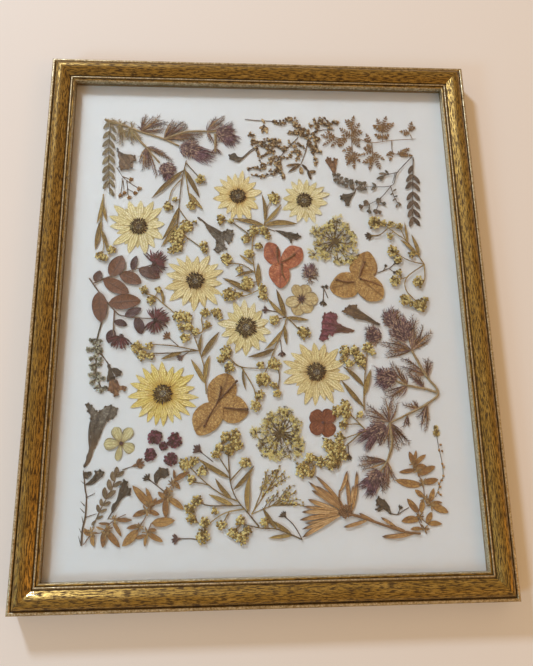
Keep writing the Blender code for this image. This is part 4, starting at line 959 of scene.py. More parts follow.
def floret_fan(umbel, hub, aim, fan, raylets, reach, low, pale):
    """Raylets that spread from one hub, each with a few starry florets, the outer ones paler."""
    for k in range(raylets):
        turn = aim + fan * (2 * (k + 0.5) / raylets - 1) + umbel.vary(-0.15, 0.15)
        end = around(hub, reach * umbel.vary(0.4, 1.1), turn)
        umbel.stem([hub, end], 0.6, 0.4, low, sides=3)
        for floret in (end, around(end, umbel.vary(1.4, 2.6), turn + umbel.vary(-1.1, 1.1))):
            tint = min(pale * umbel.vary(0, 2), 1)
            for petal in range(FLORET_PETALS):
                tip = around(floret, umbel.vary(0.9, 2.2), petal * 2 * pi / FLORET_PETALS + k)
                umbel.leaf(floret, tip, 0.72, low + 0.3 + umbel.vary(0, 0.6), 1, tint, shape=(1.3, 0.5),
                           blank=SLIVER)


for number, (umbel_name, (centre, radius, turn, low)) in enumerate(UMBELS.items(), 31):
    umbel = Specimen(number)
    for i in range(RAYS):
        out = ((i + 0.5) / RAYS) ** 0.55
        aim = turn + i * GOLDEN_ANGLE + umbel.vary(-0.15, 0.15)
        hub = around(centre, radius * (0.08 + 0.72 * out) * umbel.vary(0.82, 1.14), aim)
        umbel.stem([centre, hub], 1.1, 0.8, low, tint=umbel.vary(0, 0.5))
        floret_fan(umbel, hub, aim, 3.1 - 1.1 * out, int(4 + 7 * out), radius * umbel.vary(0.13, 0.23),
                   low + 0.2 + 0.4 * (1 - out), 0.35 + 0.55 * out)
    umbel.place(umbel_name + "_head", "umbel", [umbel_stalk, umbel_floret], umbel_name)


# -------------------- sea hollies
# Two thistle-like stems: woody stalks, long spiny bracts and domed bristly heads, the thickest things
# under the glass. The bristles fan out past the heads.

sea_holly_stalk = plant("sea_holly_stalk", (98, 77, 48), (132, 107, 72), (160, 134, 96), roughness=0.8)
sea_holly_bract = plant(
    "sea_holly_bract", (46, 20, 18), (80, 45, 29), (124, 82, 48), (174, 138, 88), base=(123, 92, 60),
    base_reach=0.3, tip=(53, 26, 29), tip_reach=0.6, roughness=0.8)
sea_holly_bristle = plant(
    "sea_holly_bristle", (45, 18, 37), (77, 42, 61), (111, 71, 86), (155, 119, 114), roughness=0.85)
olive_tuft = plant("sea_holly_young_tuft", (97, 75, 42), (134, 111, 68), (164, 142, 97), roughness=0.8)
sea_holly_scale = plant(
    "sea_holly_scale", (49, 24, 39), (85, 53, 65), (131, 96, 91), (186, 155, 125), roughness=0.8)
SEA_HOLLY_FINISHES = [sea_holly_stalk, sea_holly_bract, sea_holly_bristle, olive_tuft, sea_holly_scale]
SCALES_PER_SQUARE = 1.5  # times a head's half width squared, in millimetres
BRUSH_BRISTLES = 22  # towards each tip of a head
SPINE_SPACING = 2.5  # along a bract


def bristle_head(holly, x, y, across, long, aim, tips):
    """A domed head set with overlapping pointed scales, and a brush of bristles towards each tip."""
    low = 0.3
    holly.bud(x, y, across * 0.85, low, 2, 0.2, tall=1.0 / across, long=long, aim=aim)
    scales = int(across ** 2 * long * SCALES_PER_SQUARE)
    for i in range(scales):
        out, turn = ((i + 0.5) / scales) ** 0.5, i * GOLDEN_ANGLE
        ahead, aside = across * long * out * cos(turn), across * out * sin(turn)
        foot = (x + ahead * cos(aim) - aside * sin(aim), y + ahead * sin(aim) + aside * cos(aim))
        scale_aim = aim + 1.1 * sin(turn) * out + holly.vary(-0.4, 0.4)
        holly.leaf(foot, around(foot, holly.vary(2.4, 5.0), scale_aim), 0.85,
                   low + 1.7 * (1 - out ** 2) ** 0.5 + 0.25, 4, holly.vary(), shape=(0.7, 0.6), rise=0.2,
                   blank=SLIVER)
    for tip in tips:
        turn = way((x, y), tip)[1]
        for _ in range(BRUSH_BRISTLES):
            foot = around((x, y), across * holly.vary(0.3, 0.95), turn + holly.vary(-0.8, 0.8))
            end = part_way(foot, tip, holly.vary(0.3, 1.0))
            holly.leaf(foot, around(end, holly.vary(0, 4), holly.vary(0, 2 * pi)), 0.7,
                       low + holly.vary(0, 1.4), 2, shape=(0.6, 0.7), bow=holly.vary(-0.08, 0.08),
                       thick=0.3, blank=SLIVER)


def spiny_bract(holly, base, tip, width, finish=1):
    """A narrow pointed bract with long spines along both edges."""
    low = 0.5
    holly.leaf(base, tip, width, low + holly.vary(0, 0.8), finish, shape=(0.6, 0.9),
               bow=holly.vary(-0.09, 0.09), thick=0.35)
    length, aim = way(base, tip)
    for i in range(int(length / SPINE_SPACING)):
        foot = part_way(base, tip, 0.35 + 0.6 * i * SPINE_SPACING / length)
        side = 1 if i % 2 else -1
        spine = around(foot, holly.vary(2.5, 5), aim + side * holly.vary(0.5, 1.0))
        holly.leaf(foot, spine, 0.62, low + holly.vary(0, 0.8), finish if i % 3 else 4, shape=(0.5, 0.8),
                   blank=SLIVER)


HOLLIES = {  # stems; tufts of bracts (foot, finish, tips); heads (middle, size, stretch, aim, brush tips)
    "sea_holly_left": (
        [[(-167, 208), (-151, 203), (-128, 194), (-104, 186), (-88, 178)],
         [(-135, 191), (-129, 183), (-122, 175), (-108, 158)],
         [(-103, 186), (-84, 194), (-72, 196), (-59, 196), (-46, 196)],
         [(-50, 193), (-50, 181), (-50, 171)]],
        [((-128, 195), 1,
          [(-131, 201), (-127, 214), (-123, 216), (-115, 214), (-108, 217), (-111, 210), (-104, 209),
           (-99, 206), (-102, 200), (-104, 195), (-113, 206)]),
         ((-104, 186), 1,
          [(-97, 206), (-94, 211), (-91, 208), (-87, 208), (-82, 208), (-79, 205), (-78, 201), (-62, 194),
           (-61, 191), (-71, 187), (-65, 185), (-88, 188)]),
         ((-122, 176), 1,
          [(-129, 156), (-125, 147), (-121, 150), (-128, 163), (-117, 158), (-111, 174), (-100, 167),
           (-96, 163), (-103, 169), (-119, 149), (-110, 140), (-92, 158)]),
         ((-59, 196), 1,
          [(-52, 212), (-48, 215), (-40, 216), (-39, 213), (-42, 209), (-50, 178), (-54, 184), (-30, 208)]),
         ((-50, 176), 1, [(-47, 186), (-54, 168), (-44, 168)]),
         ((-150, 202), 3,
          [(-167, 208), (-161, 210), (-153, 209), (-143, 207), (-156, 198), (-154, 188), (-151, 179),
           (-148, 176), (-145, 184)]),
         ((-138, 198), 3,
          [(-142, 183), (-137, 177), (-134, 183), (-130, 180), (-128, 186), (-146, 186), (-152, 192),
           (-140, 207)])],
        [(-78, 175, 9, 1.2, -0.35, [(-47, 163), (-54, 153), (-45, 170), (-51, 160)]),
         (-101, 151, 7.5, 1.1, -1.0, [(-96, 134), (-92, 143), (-102, 136), (-89, 151)]),
         (-42, 194, 8, 1.1, -0.4,
          [(-31, 206), (-27, 199), (-22, 188), (-24, 182), (-29, 175), (-35, 177)])]),
    "sea_holly_right": (
        [[(145, -44), (157, -69), (168, -86), (156, -97), (138, -106), (118, -115)],
         [(166, -86), (154, -82), (138, -79), (124, -73)],
         [(118, -115), (119, -134), (113, -151), (104, -162)]],
        [((145, -44), 1,
          [(167, -30), (162, -36), (164, -25), (159, -17), (153, -10), (146, -12), (140, -12), (118, -45),
           (117, -51), (122, -48), (127, -43), (150, -20), (131, -36), (156, -28), (111, -36), (118, -39),
           (122, -32), (168, -24), (148, -6)]),
         ((129, -16), 1,
          [(118, -2), (116, -8), (118, -13), (125, -3), (128, 2), (135, -2), (140, -6), (121, -20)]),
         ((114, -29), 1, [(98, -32), (99, -26), (104, -20), (106, -17), (107, -40), (102, -36), (98, -21)]),
         ((138, -79), 1,
          [(127, -58), (122, -54), (130, -60), (114, -86), (115, -91), (120, -93), (126, -89), (132, -66)]),
         ((157, -69), 1, [(132, -51), (133, -60), (138, -63), (138, -51), (146, -68)]),
         ((158, -72), 1, [(162, -50), (165, -54), (158, -52)]),
         ((155, -84), 1, [(137, -64), (141, -69), (147, -68), (150, -71)]),
         ((118, -115), 1,
          [(95, -96), (94, -102), (92, -107), (114, -89), (110, -99), (123, -89), (127, -94), (106, -137),
           (109, -137), (116, -141), (121, -141), (126, -142), (131, -137), (137, -135), (134, -131),
           (124, -128), (104, -104)]),
         ((156, -97), 1, [(152, -125), (156, -115), (148, -119), (144, -111)]),
         ((148, -102), 1, [(143, -93), (138, -96), (131, -97)]),
         ((136, -108), 1, [(136, -119), (131, -120)]),
         ((113, -151), 1,
          [(87, -146), (85, -149), (84, -155), (87, -158), (120, -171), (118, -164), (107, -181),
           (110, -179), (113, -176), (92, -148)])],
        [(136, -25, 10, 1.2, 2.1, [(140, -8), (148, -14)]),
         (126, -14, 6, 1.2, 2.0, [(119, -4), (126, 1), (134, -1)]),
         (109, -29, 6.5, 1.2, 2.8, [(99, -30), (101, -22), (105, -18)]),
         (120, -71, 8.5, 1.15, 3.0,
          [(106, -61), (105, -70), (105, -81), (109, -76), (107, -66), (112, -86)]),
         (107, -121, 8, 1.2, 3.7, [(83, -134), (85, -124), (87, -131), (91, -141), (94, -145)]),
         (102, -165, 7.5, 1.1, -2.1, [(80, -173), (84, -175), (89, -184), (93, -185), (97, -185)])]),
}
for number, (holly_name, (stems, tufts, heads)) in enumerate(HOLLIES.items(), 41):
    holly = Specimen(number)
    for path in stems:
        holly.stem(path, 2.8, 2.0, 0.4, tint=0.8)
    for x, y, across, long, aim, tips in heads:
        bristle_head(holly, x, y, across, long, aim, tips)
    for foot, finish, tips in tufts:
        for tip in tips:
            spiny_bract(holly, foot, tip, 1.4, finish)
            end = part_way(foot, tip, holly.vary(0.5, 1.0))
            end = around(end, holly.vary(1, 5), holly.vary(0, 2 * pi))
            holly.leaf(foot, end, 0.9, 0.5 + holly.vary(0, 1), 4 if finish == 1 else finish,
                       shape=(0.6, 0.8), bow=holly.vary(-0.1, 0.1), thick=0.3, blank=SLIVER)
    holly.place(holly_name + "_stem", "sea_holly", SEA_HOLLY_FINISHES, holly_name)


# -------------------- bougainvillea
# Three flowers, each of three papery bracts with branching veins, and three thin dry tubes at the
# middle. One is brick red, the other two have faded to tan.

red_bract = plant(
    "red_bract", (137, 61, 37), (177, 95, 58), (210, 138, 91), feather=7, vein=(121, 48, 28),
    edge=(119, 41, 23), edge_width=0.12, net=(121, 42, 23), roughness=0.6, blotch=0.8)
tan_bract = plant(
    "tan_bract", (139, 95, 41), (181, 134, 69), (217, 176, 106), feather=7, vein=(110, 68, 25),
    edge=(99, 60, 21), edge_width=0.12, net=(104, 64, 23), roughness=0.6, blotch=0.8)
bract_tube = plant("bract_tube", (78, 44, 21), (108, 64, 31), (132, 83, 44), roughness=0.8)

BOUGAINVILLEA = {  # finish, slot, bracts (outline, base, tip), tubes
    "bougainvillea_red": (red_bract, "bract_red",
        [([(16, 46), (7, 46), (1, 52), (0, 60), (3, 69), (12, 68), (16, 62), (17, 54)], (16, 46), (4, 69)),
         ([(16, 46), (19, 57), (24, 64), (30, 66), (39, 63), (40, 53), (36, 46), (30, 42), (21, 41)],
          (17, 44), (38, 63)),
         ([(18, 50), (10, 46), (5, 40), (6, 31), (16, 20), (24, 27), (26, 36), (24, 43)], (17, 48),
          (16, 21))], [(14, 63, 15, 47), (31, 56, 18, 48), (18, 45, 22, 28)]),
    "bougainvillea_tan_right": (tan_bract, "bract_tan",
        [([(97, 30), (88, 38), (88, 46), (93, 54), (100, 58), (108, 60), (114, 52), (116, 42), (112, 33)],
          (97, 30), (104, 60)),
         ([(98, 31), (88, 37), (80, 37), (73, 33), (66, 21), (72, 13), (82, 10), (92, 13), (96, 22)],
          (97, 29), (67, 20)),
         ([(95, 32), (93, 20), (98, 11), (107, 6), (119, 9), (121, 20), (117, 28), (110, 33)], (97, 31),
          (120, 11))], [(103, 48, 97, 32), (73, 29, 91, 27), (98, 30, 120, 22)]),
    "bougainvillea_tan_left": (tan_bract, "bract_tan",
        [([(-46, -99), (-54, -95), (-56, -82), (-53, -74), (-46, -68), (-38, -66), (-31, -70), (-28, -80),
           (-30, -90), (-36, -96)], (-46, -99), (-36, -67)),
         ([(-47, -98), (-38, -90), (-28, -88), (-20, -94), (-17, -103), (-22, -110), (-31, -114),
           (-41, -110)], (-46, -98), (-17, -104)),
         ([(-43, -97), (-56, -94), (-66, -100), (-70, -110), (-65, -124), (-54, -123), (-45, -116),
           (-41, -107)], (-45, -98), (-66, -120))],
        [(-28, -74, -45, -92), (-18, -101, -40, -99), (-58, -116, -48, -97), (-43, -80, -48, -98)]),
}
for number, (flower_name, (finish, slot, bracts, tubes)) in enumerate(BOUGAINVILLEA.items(), 51):
    flower = Specimen(number)
    for row, (outline, base, tip) in enumerate(bracts):
        flower.sheet(outline, base, tip, 0.15 + 0.4 * row, tint=0.35 + 0.2 * row, wrinkle=0.6)
    for x0, y0, x1, y1 in tubes:
        bend = ((x0 + x1) / 2 + flower.vary(-1.5, 1.5), (y0 + y1) / 2 + flower.vary(-1.5, 1.5))
        flower.stem([(x1, y1), bend, (x0, y0)], 1.3, 2.0, 1.3, 1)
        flower.bud(x0, y0, 1.4, 1.4, 1, 0.1)
    flower.place(flower_name + "_flower", slot, [finish, bract_tube], flower_name)


# -------------------- fringe flower branch
# A purple-leaved branch: oval leaves from brown to deep purple, and flowers of crimson ribbons.

FRINGE_STEMS = [
    [(-173, 30), (-163, 16), (-147, -3), (-137, -9), (-106, -12)], [(-169, 25), (-150, 33), (-110, 45)],
    [(-147, -3), (-147, -24), (-144, -33)]]
FRINGE_LEAVES = [  # base, tip, width, tint: 0 brown, 1 purple
    (-166, 24, -163, 38, 8.5, 0.5), (-152, 31, -142, 54, 16, 0.1), (-131, 37, -128, 54, 6.9, 0.9),
    (-125, 39, -104, 31, 12, 0.5), (-144, 35, -122, 25, 13, 0.15), (-159, 28, -134, 15, 14, 0.0),
    (-152, 5, -122, 7, 16, 0.1), (-163, 16, -159, -15, 15, 0.2), (-137, -9, -121, -1, 8.5, 0.8),
    (-147, -14, -134, -18, 6.9, 0.9), (-126, -11, -120, -27, 10, 0.9), (-147, -22, -151, -36, 9, 1.0)]
# middle, reach of the ribbons, how many, their heading, how far they spread to either side
FRINGE_FLOWERS = [
    (-110, 46, 15.5, 60, 0.1, 2.4), (-107, -13, 15.5, 56, -0.1, 2.4), (-139, -29, 15, 30, -1.8, 1.2)]

fringe_leaf = plant(
    "fringe_branch_leaf", (112, 64, 35), (91, 50, 31), (69, 34, 33), (58, 25, 36), feather=6,
    vein=(58, 28, 21), edge=(61, 28, 26), edge_width=0.15, roughness=0.5, blotch=0.12)
fringe_ribbon = plant("crimson_ribbon_petal", (39, 4, 10), (71, 7, 20), (110, 30, 43), roughness=0.6)
fringe_twig = plant("fringe_twig", (86, 62, 46), (116, 89, 70), roughness=0.8)
KNOT_BUDS = 16


def ribbon_flower(flower, x, y, reach, ribbons, heading, spread):
    """Narrow ragged ribbons that fan out to both sides of the heading, over a knot of buds."""
    low, finish = 1.0, 2
    for i in range(ribbons):
        aim = heading + spread * (2 * (i * 0.618 % 1) - 1)
        end = around((x, y), reach * flower.vary(0.6, 1.02), aim)
        flower.leaf(around((x, y), 1, aim), end, flower.vary(1.0, 1.5), low + flower.vary(0, 0.8),
                    finish, shape=(1.2, 0.3), bow=flower.vary(-0.14, 0.14), cup=0.0)
    flower.packed((x, y), 2.2, KNOT_BUDS, 0.7, low + 0.8, finish, 0.1)


fringe = Specimen(61)
grown = branch(fringe, FRINGE_STEMS, [], 1.5, 0.8)
for x0, y0, x1, y1, across, tint in FRINGE_LEAVES:
    fringe.leaf(nearest_on(grown, (x0, y0))[0], (x1, y1), across, 0.9 + fringe.vary(0, 0.4), 1, tint,
                shape=(0.95, 0.6), bow=fringe.vary(-0.03, 0.03), cup=0.03, blank=PETAL)
for fringe_flower in FRINGE_FLOWERS:
    ribbon_flower(fringe, *fringe_flower)
fringe.place("fringe_flower_branch_sprig", "purple_leaf", [fringe_twig, fringe_leaf, fringe_ribbon],
             "fringe_flower_branch")


# -------------------- vetch leaves and oval leaf sprig
# Compound leaves: oval leaflets in two rows along a thin midrib. The left one is olive, the right one
# almost black; the small sprig at the lower left has purple-grey leaf margins.

olive_leaflet = plant(
    "olive_leaflet", (98, 79, 45), (124, 105, 64), (145, 125, 82), feather=5, vein=(80, 62, 36),
    edge=(93, 68, 41), edge_width=0.35, roughness=0.65)
dark_leaflet = plant(
    "dark_leaflet", (65, 46, 36), (90, 68, 53), (112, 89, 70), feather=5, vein=(46, 32, 25),
    edge=(48, 32, 25), roughness=0.6)
margined_leaflet = plant(
    "margined_leaflet", (94, 75, 48), (118, 95, 64), (138, 113, 79), feather=5, vein=(73, 55, 41),
    edge=(86, 55, 46), edge_width=0.45, roughness=0.65)


def vetch_leaf(name, slot, finish, midrib, middles, low, seed, up, long, wide):
    """Leaflets by their middles; each leaves the midrib a little further up the leaf."""
    leaf = Specimen(seed)
    leaf.stem(midrib, 1.1, 0.6, low, tint=0.2)
    for x, y in middles:
        foot, _ = nearest_on([midrib], (midrib[0][0], y + up))
        end = around(foot, long, way(foot, (x, y))[1])
        leaf.leaf(foot, end, wide, low + leaf.vary(0, 0.3), shape=(1.1, 0.6), cup=0.04)
    leaf.place(name + "_leaflets", slot, [finish], name)


vetch_leaf(
    "vetch_leaf_left", "olive_leaf", olive_leaflet, [(-161, 207), (-161, 165), (-158, 121)],
    [(-166, 199), (-166, 188), (-166, 178), (-165.5, 168), (-165, 158), (-164.5, 148), (-164, 139),
     (-163, 130), (-156.5, 186), (-157, 177), (-157, 168), (-156, 159), (-156, 150), (-155.5, 141),
     (-155, 132), (-155, 122), (-157, 196)], 0.9, 71, 7, 12, 4.0)
vetch_leaf(
    "vetch_leaf_right", "dark_leaf", dark_leaflet, [(163, 169), (160, 136), (157, 96)],
    [(159, 154), (156, 143), (154.5, 134), (155, 122), (154.5, 112), (154.5, 103), (155, 93), (165, 142),
     (164.5, 133), (163.5, 122), (163, 112), (162.5, 102), (161.5, 93)], 0.9, 72, 6.0, 12.5, 4.5)

OVAL_LEAVES = [
    (-139, -161, -131, -156, 4.1), (-141, -170, -133, -165, 4.1), (-145, -181, -138, -173, 4.5),
    (-149, -186, -142, -183, 3.7), (-151, -192, -145, -189, 2.9), (-153, -198, -148, -195, 2.9),
    (-139, -160, -138, -152, 4.5), (-141, -165, -142, -156, 4.5), (-143, -173, -145, -163, 4.5),
    (-146, -181, -148, -170, 4.5), (-149, -187, -151, -180, 3.3), (-152, -192, -154, -185, 3.3),
    (-156, -198, -158, -203, 2.5)]
OVAL_STEM = [(-138, -156), (-141, -170), (-147, -182), (-152, -192), (-157, -205)]
oval_sprig = Specimen(73)
branch(oval_sprig, [OVAL_STEM], OVAL_LEAVES, 1.0, 0.3, shape=(1.0, 0.5))
oval_sprig.place("oval_leaf_sprig_leaflets", "olive_leaf", [margined_leaflet], "oval_leaf_sprig")


# -------------------- ferny leaves
# Two leaves divided twice: each side stalk carries pairs of small oblong leaflets and one at its end.

fern_leaflet = plant(
    "ferny_leaflet", (101, 64, 30), (135, 95, 50), (167, 128, 79), feather=3, vein=(89, 55, 25),
    edge=(97, 60, 28), roughness=0.7)
LEAFLET_SPACING = 3.5


def pinna(leaf, base, tip, across, low):
    """One side stalk with its pairs of leaflets."""
    length, aim = way(base, tip)
    leaf.stem([base, tip], 0.6, 0.4, low, sides=4)
    pairs = max(int(length / LEAFLET_SPACING), 3)
    for i in range(pairs):
        foot = part_way(base, tip, 0.15 + 0.75 * i / pairs)
        for side in (-1, 1):
            size = (across * 0.4 + 1.8) * leaf.vary(0.85, 1.1) * (1 - 0.3 * i / pairs)
            leaf.leaf(foot, around(foot, size, aim + side * 0.9), 1.25, low + leaf.vary(0.05, 0.3),
                      shape=(1.15, 0.5), cup=0.05)
    leaf.leaf(around(tip, -3.5, aim), tip, 1.7, low + 0.2, shape=(1.1, 0.5))


FERNY_LEAVES = {
    "ferny_leaf_left": (
        [[(68, 198), (82, 191), (97, 191)], [(97, 191), (98, 206)], [(97, 191), (97, 166)]],
        [(79, 191, 65, 181, 3.5), (84, 191, 74, 180, 3.5), (92, 190, 83, 180, 5), (97, 194, 84, 203, 6),
         (97, 200, 91, 214, 4), (98, 205, 101, 219, 4), (97, 197, 107, 210, 5), (97, 191, 106, 180, 6),
         (97, 181, 89, 165, 5), (97, 172, 90, 158, 5), (97, 170, 98, 154, 4), (97, 174, 105, 162, 4),
         (79, 192, 63, 194, 3), (97, 192, 110, 199, 4)]),
    "ferny_leaf_right": (
        [[(104, 191), (118, 186), (140, 189), (168, 191.5)], [(131, 188), (131, 206)],
         [(119, 186), (119, 164)], [(141, 189), (141, 175), (148, 172)],
         [(164, 191), (161, 200), (162, 206)]],
        [(131, 199, 121, 207, 4), (131, 201, 126, 216, 6), (131, 204, 137, 219, 5),
         (131, 198, 145, 211, 6.9), (119, 180, 109, 179, 4), (119, 170, 107, 161, 4),
         (119, 167, 114, 153, 4), (119, 175, 126, 154, 7), (141, 176, 137, 164, 4), (161, 200, 150, 200, 4),
         (161, 201, 165, 213, 5), (131, 194, 122, 196, 3.5), (131, 193, 139, 196, 3.5),
         (118, 187, 113, 197, 4), (119, 175, 106, 171, 3), (146, 174, 163, 171, 5),
         (148, 173, 160, 180, 5)]),
}
for number, (leaf_name, (stems, pinnae)) in enumerate(FERNY_LEAVES.items(), 81):
    ferny = Specimen(number)
    grown = branch(ferny, stems, [], 0.9, 0.8)
    for i, (x0, y0, x1, y1, across) in enumerate(pinnae):
        foot = nearest_on(grown, (x0, y0))[0]
        length, aim = way(foot, (x1, y1))
        pinna(ferny, foot, (x1, y1), across, 0.8)
        beside = around(foot, length * 0.72, aim + (0.6 if i % 2 else -0.6))
        pinna(ferny, foot, beside, across * 0.7, 0.6)
    ferny.place(leaf_name + "_leaflets", "fern", [fern_leaflet], leaf_name)


# -------------------- heather sprigs
# Brown heather: thin stems set all round with knobbly dry bells and needle leaves.

HEATHER_STEMS = [
    [(-18, 212), (-9, 211), (11, 210), (24, 208)], [(-24, 161), (-15, 170), (-3, 180)],
    [(39, 191), (29, 180), (17, 165)], [(49, 183), (45, 170), (41, 159)], [(59, 199), (68, 201), (79, 201)]]
HEATHER_SPIKES = [  # path, how far its bells stand out
    ([(11, 209), (24, 208)], 2.2), ([(24, 208), (30, 215)], 2.4),
    ([(29, 214), (36, 209), (39, 199), (44, 196)], 4), ([(29, 197), (37, 196), (44, 195), (59, 197)], 2.6),
    ([(51, 205), (60, 207), (59, 201)], 2), ([(57, 215), (60, 206)], 1.8), ([(62, 215), (70, 205)], 2.6),
    ([(69, 216), (73, 206), (74, 203)], 2), ([(63, 208), (76, 209), (82, 210)], 2.2),
    ([(55, 194), (62, 188)], 2), ([(44, 194), (49, 189), (49, 184)], 3),
    ([(52, 184), (58, 176), (63, 173)], 1.8), ([(58, 193), (57, 183), (55, 173), (58, 159)], 2.2),
    ([(52, 184), (53, 174)], 1.8), ([(-14, 192), (-11, 194), (-9, 186), (-12, 181)], 2),
    ([(-9, 186), (-2, 183), (7, 188), (12, 188), (20, 185)], 2.8), ([(-6, 179), (-5, 168)], 1.6),
    ([(-2, 181), (6, 179), (10, 172), (12, 175)], 2.6), ([(-2, 168), (4, 169), (7, 173)], 2),
    ([(11, 184), (17, 178), (25, 178), (24, 174)], 2.2), ([(8, 164), (12, 168), (17, 166)], 2.2),
    ([(29, 185), (32, 181), (34, 180)], 2), ([(36, 184), (40, 182), (44, 180)], 2.2),
    ([(33, 174), (37, 175), (41, 172), (36, 165)], 2.4), ([(20, 167), (27, 167), (32, 170)], 1.6),
    ([(-2, 161), (0, 158), (8, 159)], 1.6), ([(-16, 152), (-8, 154), (-1, 153), (2, 158)], 1.8),
    ([(-10, 145), (-2, 144), (3, 145), (10, 147)], 1.3), ([(8, 163), (15, 161), (17, 152), (10, 150)], 3),
    ([(20, 165), (19, 154), (21, 146), (23, 142)], 2), ([(38, 205), (42, 200), (50, 199)], 3),
    ([(8, 182), (15, 184)], 3)]
HEATHER_LEAVES = [
    (41, 159, 25, 157, 3), (41, 159, 27, 149, 3), (42, 159, 48, 152, 3), (48, 153, 51, 141, 3.4),
    (49, 150, 57, 150, 4), (41, 156, 41, 147, 4.5), (0, 213, 3, 207, 3), (2, 203, -3, 201, 3),
    (2, 203, 7, 200, 3), (2, 203, 0, 195, 3.4), (2, 203, 6, 195, 3.4), (2, 206, 3, 199, 4)]

heather_twig = plant("heather_twig", (78, 53, 30), (105, 75, 43), roughness=0.85)
heather_bell = plant(
    "heather_bell", (58, 37, 21), (99, 71, 43), (142, 111, 74), (185, 156, 112), roughness=0.9, blotch=0.1)

BELL_DENSITY = 0.42  # bells per square millimetre


def heather_spike(sprig, path, spread):
    """Nodding bells, each with a few needle leaves, set all round a twig."""
    low = 0.2
    for x, y in smooth_line(path, max(int(run_length(path) * spread * BELL_DENSITY), 4)):
        turn = sprig.vary(0, 2 * pi)
        end = around((x, y), spread * sprig.vary(0.3, 1.0), turn)
        height = low + sprig.vary(0, 0.8)
        sprig.stem([(x, y), end], 0.5, 0.4, low + 0.2, sides=3)
        sprig.bud(*end, sprig.vary(0.8, 1.15), height, 1, long=1.45, aim=turn)
        for side in (-0.7, 0.7):
            sprig.leaf(end, around(end, sprig.vary(1.6, 2.4), turn + side), 0.8, height, 1, blank=SLIVER)


heather = Specimen(91)
for path in HEATHER_STEMS:
    heather.stem(path, 1.0, 0.7, 0.3)
for path, spread in HEATHER_SPIKES:
    heather.stem(path, 0.9, 0.6, 0.3)
    heather_spike(heather, path, spread)
for x0, y0, x1, y1, across in HEATHER_LEAVES:
    heather.leaf((x0, y0), (x1, y1), across, 0.6, 1, shape=(1.1, 0.5))
heather.place("heather_sprigs_twigs", "heather", [heather_twig, heather_bell], "heather_sprigs")


# -------------------- salvia twigs
# Dark thin twigs with pairs of small leaves and a spike of overlapping grey two-lipped flowers.

SALVIA_STEMS = [
    [(162, 170), (144, 150), (137, 135), (109, 133)], [(137, 134), (125, 121), (112, 113)],
    [(144, 151), (131, 147), (124, 143)], [(142, 150), (134, 140)], [(137, 133), (139, 122), (144, 111)],
    [(125, 121), (119, 107)]]
SALVIA_LEAVES = [
    (135, 148, 131, 153, 2.4), (133, 148, 124, 149, 3), (130, 146, 121, 142, 3), (129, 146, 126, 140, 2.4),
    (121, 134, 116, 138, 2.4), (120, 134, 115, 129, 3), (138, 128, 142, 131, 1.8),
    (138, 126, 135, 124, 1.8), (139, 122, 143, 123, 1.8), (140, 120, 137, 117, 1.8),
    (142, 116, 146, 112, 2.4), (142, 114, 140, 109, 2)]
SALVIA_SPIKE = [(109, 133), (98, 134), (88, 138), (75, 144)]
SALVIA_FLOWERS = [
    (109, 114, 7), (103, 110, 6), (111, 105, 5.5), (122, 117, 7), (127, 114, 5), (118, 105, 6),
    (122, 104, 5)]

salvia_twig = plant("salvia_twig", (67, 51, 38), (92, 73, 55), roughness=0.85)
salvia_flower = plant(
    "salvia_flower", (52, 44, 34), (82, 71, 57), (121, 107, 88), (105, 76, 59), roughness=0.8,
    edge=(48, 37, 30), edge_width=0.3)

salvia = Specimen(92)
grown = branch(salvia, SALVIA_STEMS, [], 0.9, 1.2)
for x0, y0, x1, y1, across in SALVIA_LEAVES:
    salvia.leaf((x0, y0), (x1, y1), across, 1.3, 1, shape=(1.1, 0.5))
spike = [(x + salvia.vary(-2, 2), y + (3.4 if i % 2 else -3.0) + salvia.vary(-1, 1), 5.0)
         for i, (x, y) in enumerate(smooth_line(SALVIA_SPIKE, 22))]
for x, y, size in SALVIA_FLOWERS + spike:
    foot, gap = nearest_on([SALVIA_SPIKE, *grown], (x, y))
    aim = atan2(y - foot[1] + 0.01, x - foot[0] - 1.5)
    low = 1.1 + salvia.vary(0, 0.5)
    salvia.stem([foot, (x, y)], 1.0, 1.4, low, 1, sides=4)
    for side in (-0.8, -0.25, 0.3, 0.9):
        end = around((x, y), size * salvia.vary(0.4, 0.62), aim + side)
        salvia.leaf(around((x, y), -size * 0.35, aim), end, size * 0.42, low + salvia.vary(0, 0.5), 1,
                    shape=(1.4, 0.5))
salvia.place("salvia_twigs_flowers", "salvia", [salvia_twig, salvia_flower], "salvia_twigs")


# -------------------- lavender spike
# One grey-beige spike: loose whorls of papery cups down a bent stem, each cup with five pointed teeth.

LAVENDER_STEM = [(-159, -15), (-162, -30), (-163, -43), (-162, -58), (-162, -67), (-159, -73), (-156, -79)]
LAVENDER_CUPS = [
    (-168, -33), (-159, -34), (-164, -36), (-170, -42), (-158, -43), (-161, -39), (-162, -45), (-166, -42),
    (-167, -51), (-158, -52), (-163, -49), (-166, -58), (-159, -57), (-164, -61), (-167, -67), (-159, -66),
    (-163, -68), (-165, -74), (-154, -70), (-159, -71), (-160, -79), (-152, -79), (-156, -82)]
CUP_TEETH = 5

lavender_cup = plant(
    "lavender_cup", (56, 52, 38), (100, 94, 74), (146, 140, 116), (180, 174, 150), base=(76, 68, 54),
    roughness=0.85, edge=(72, 64, 54), blotch=0.1)
lavender_throat = plant("lavender_throat", (69, 53, 54), (98, 80, 77), roughness=0.8)

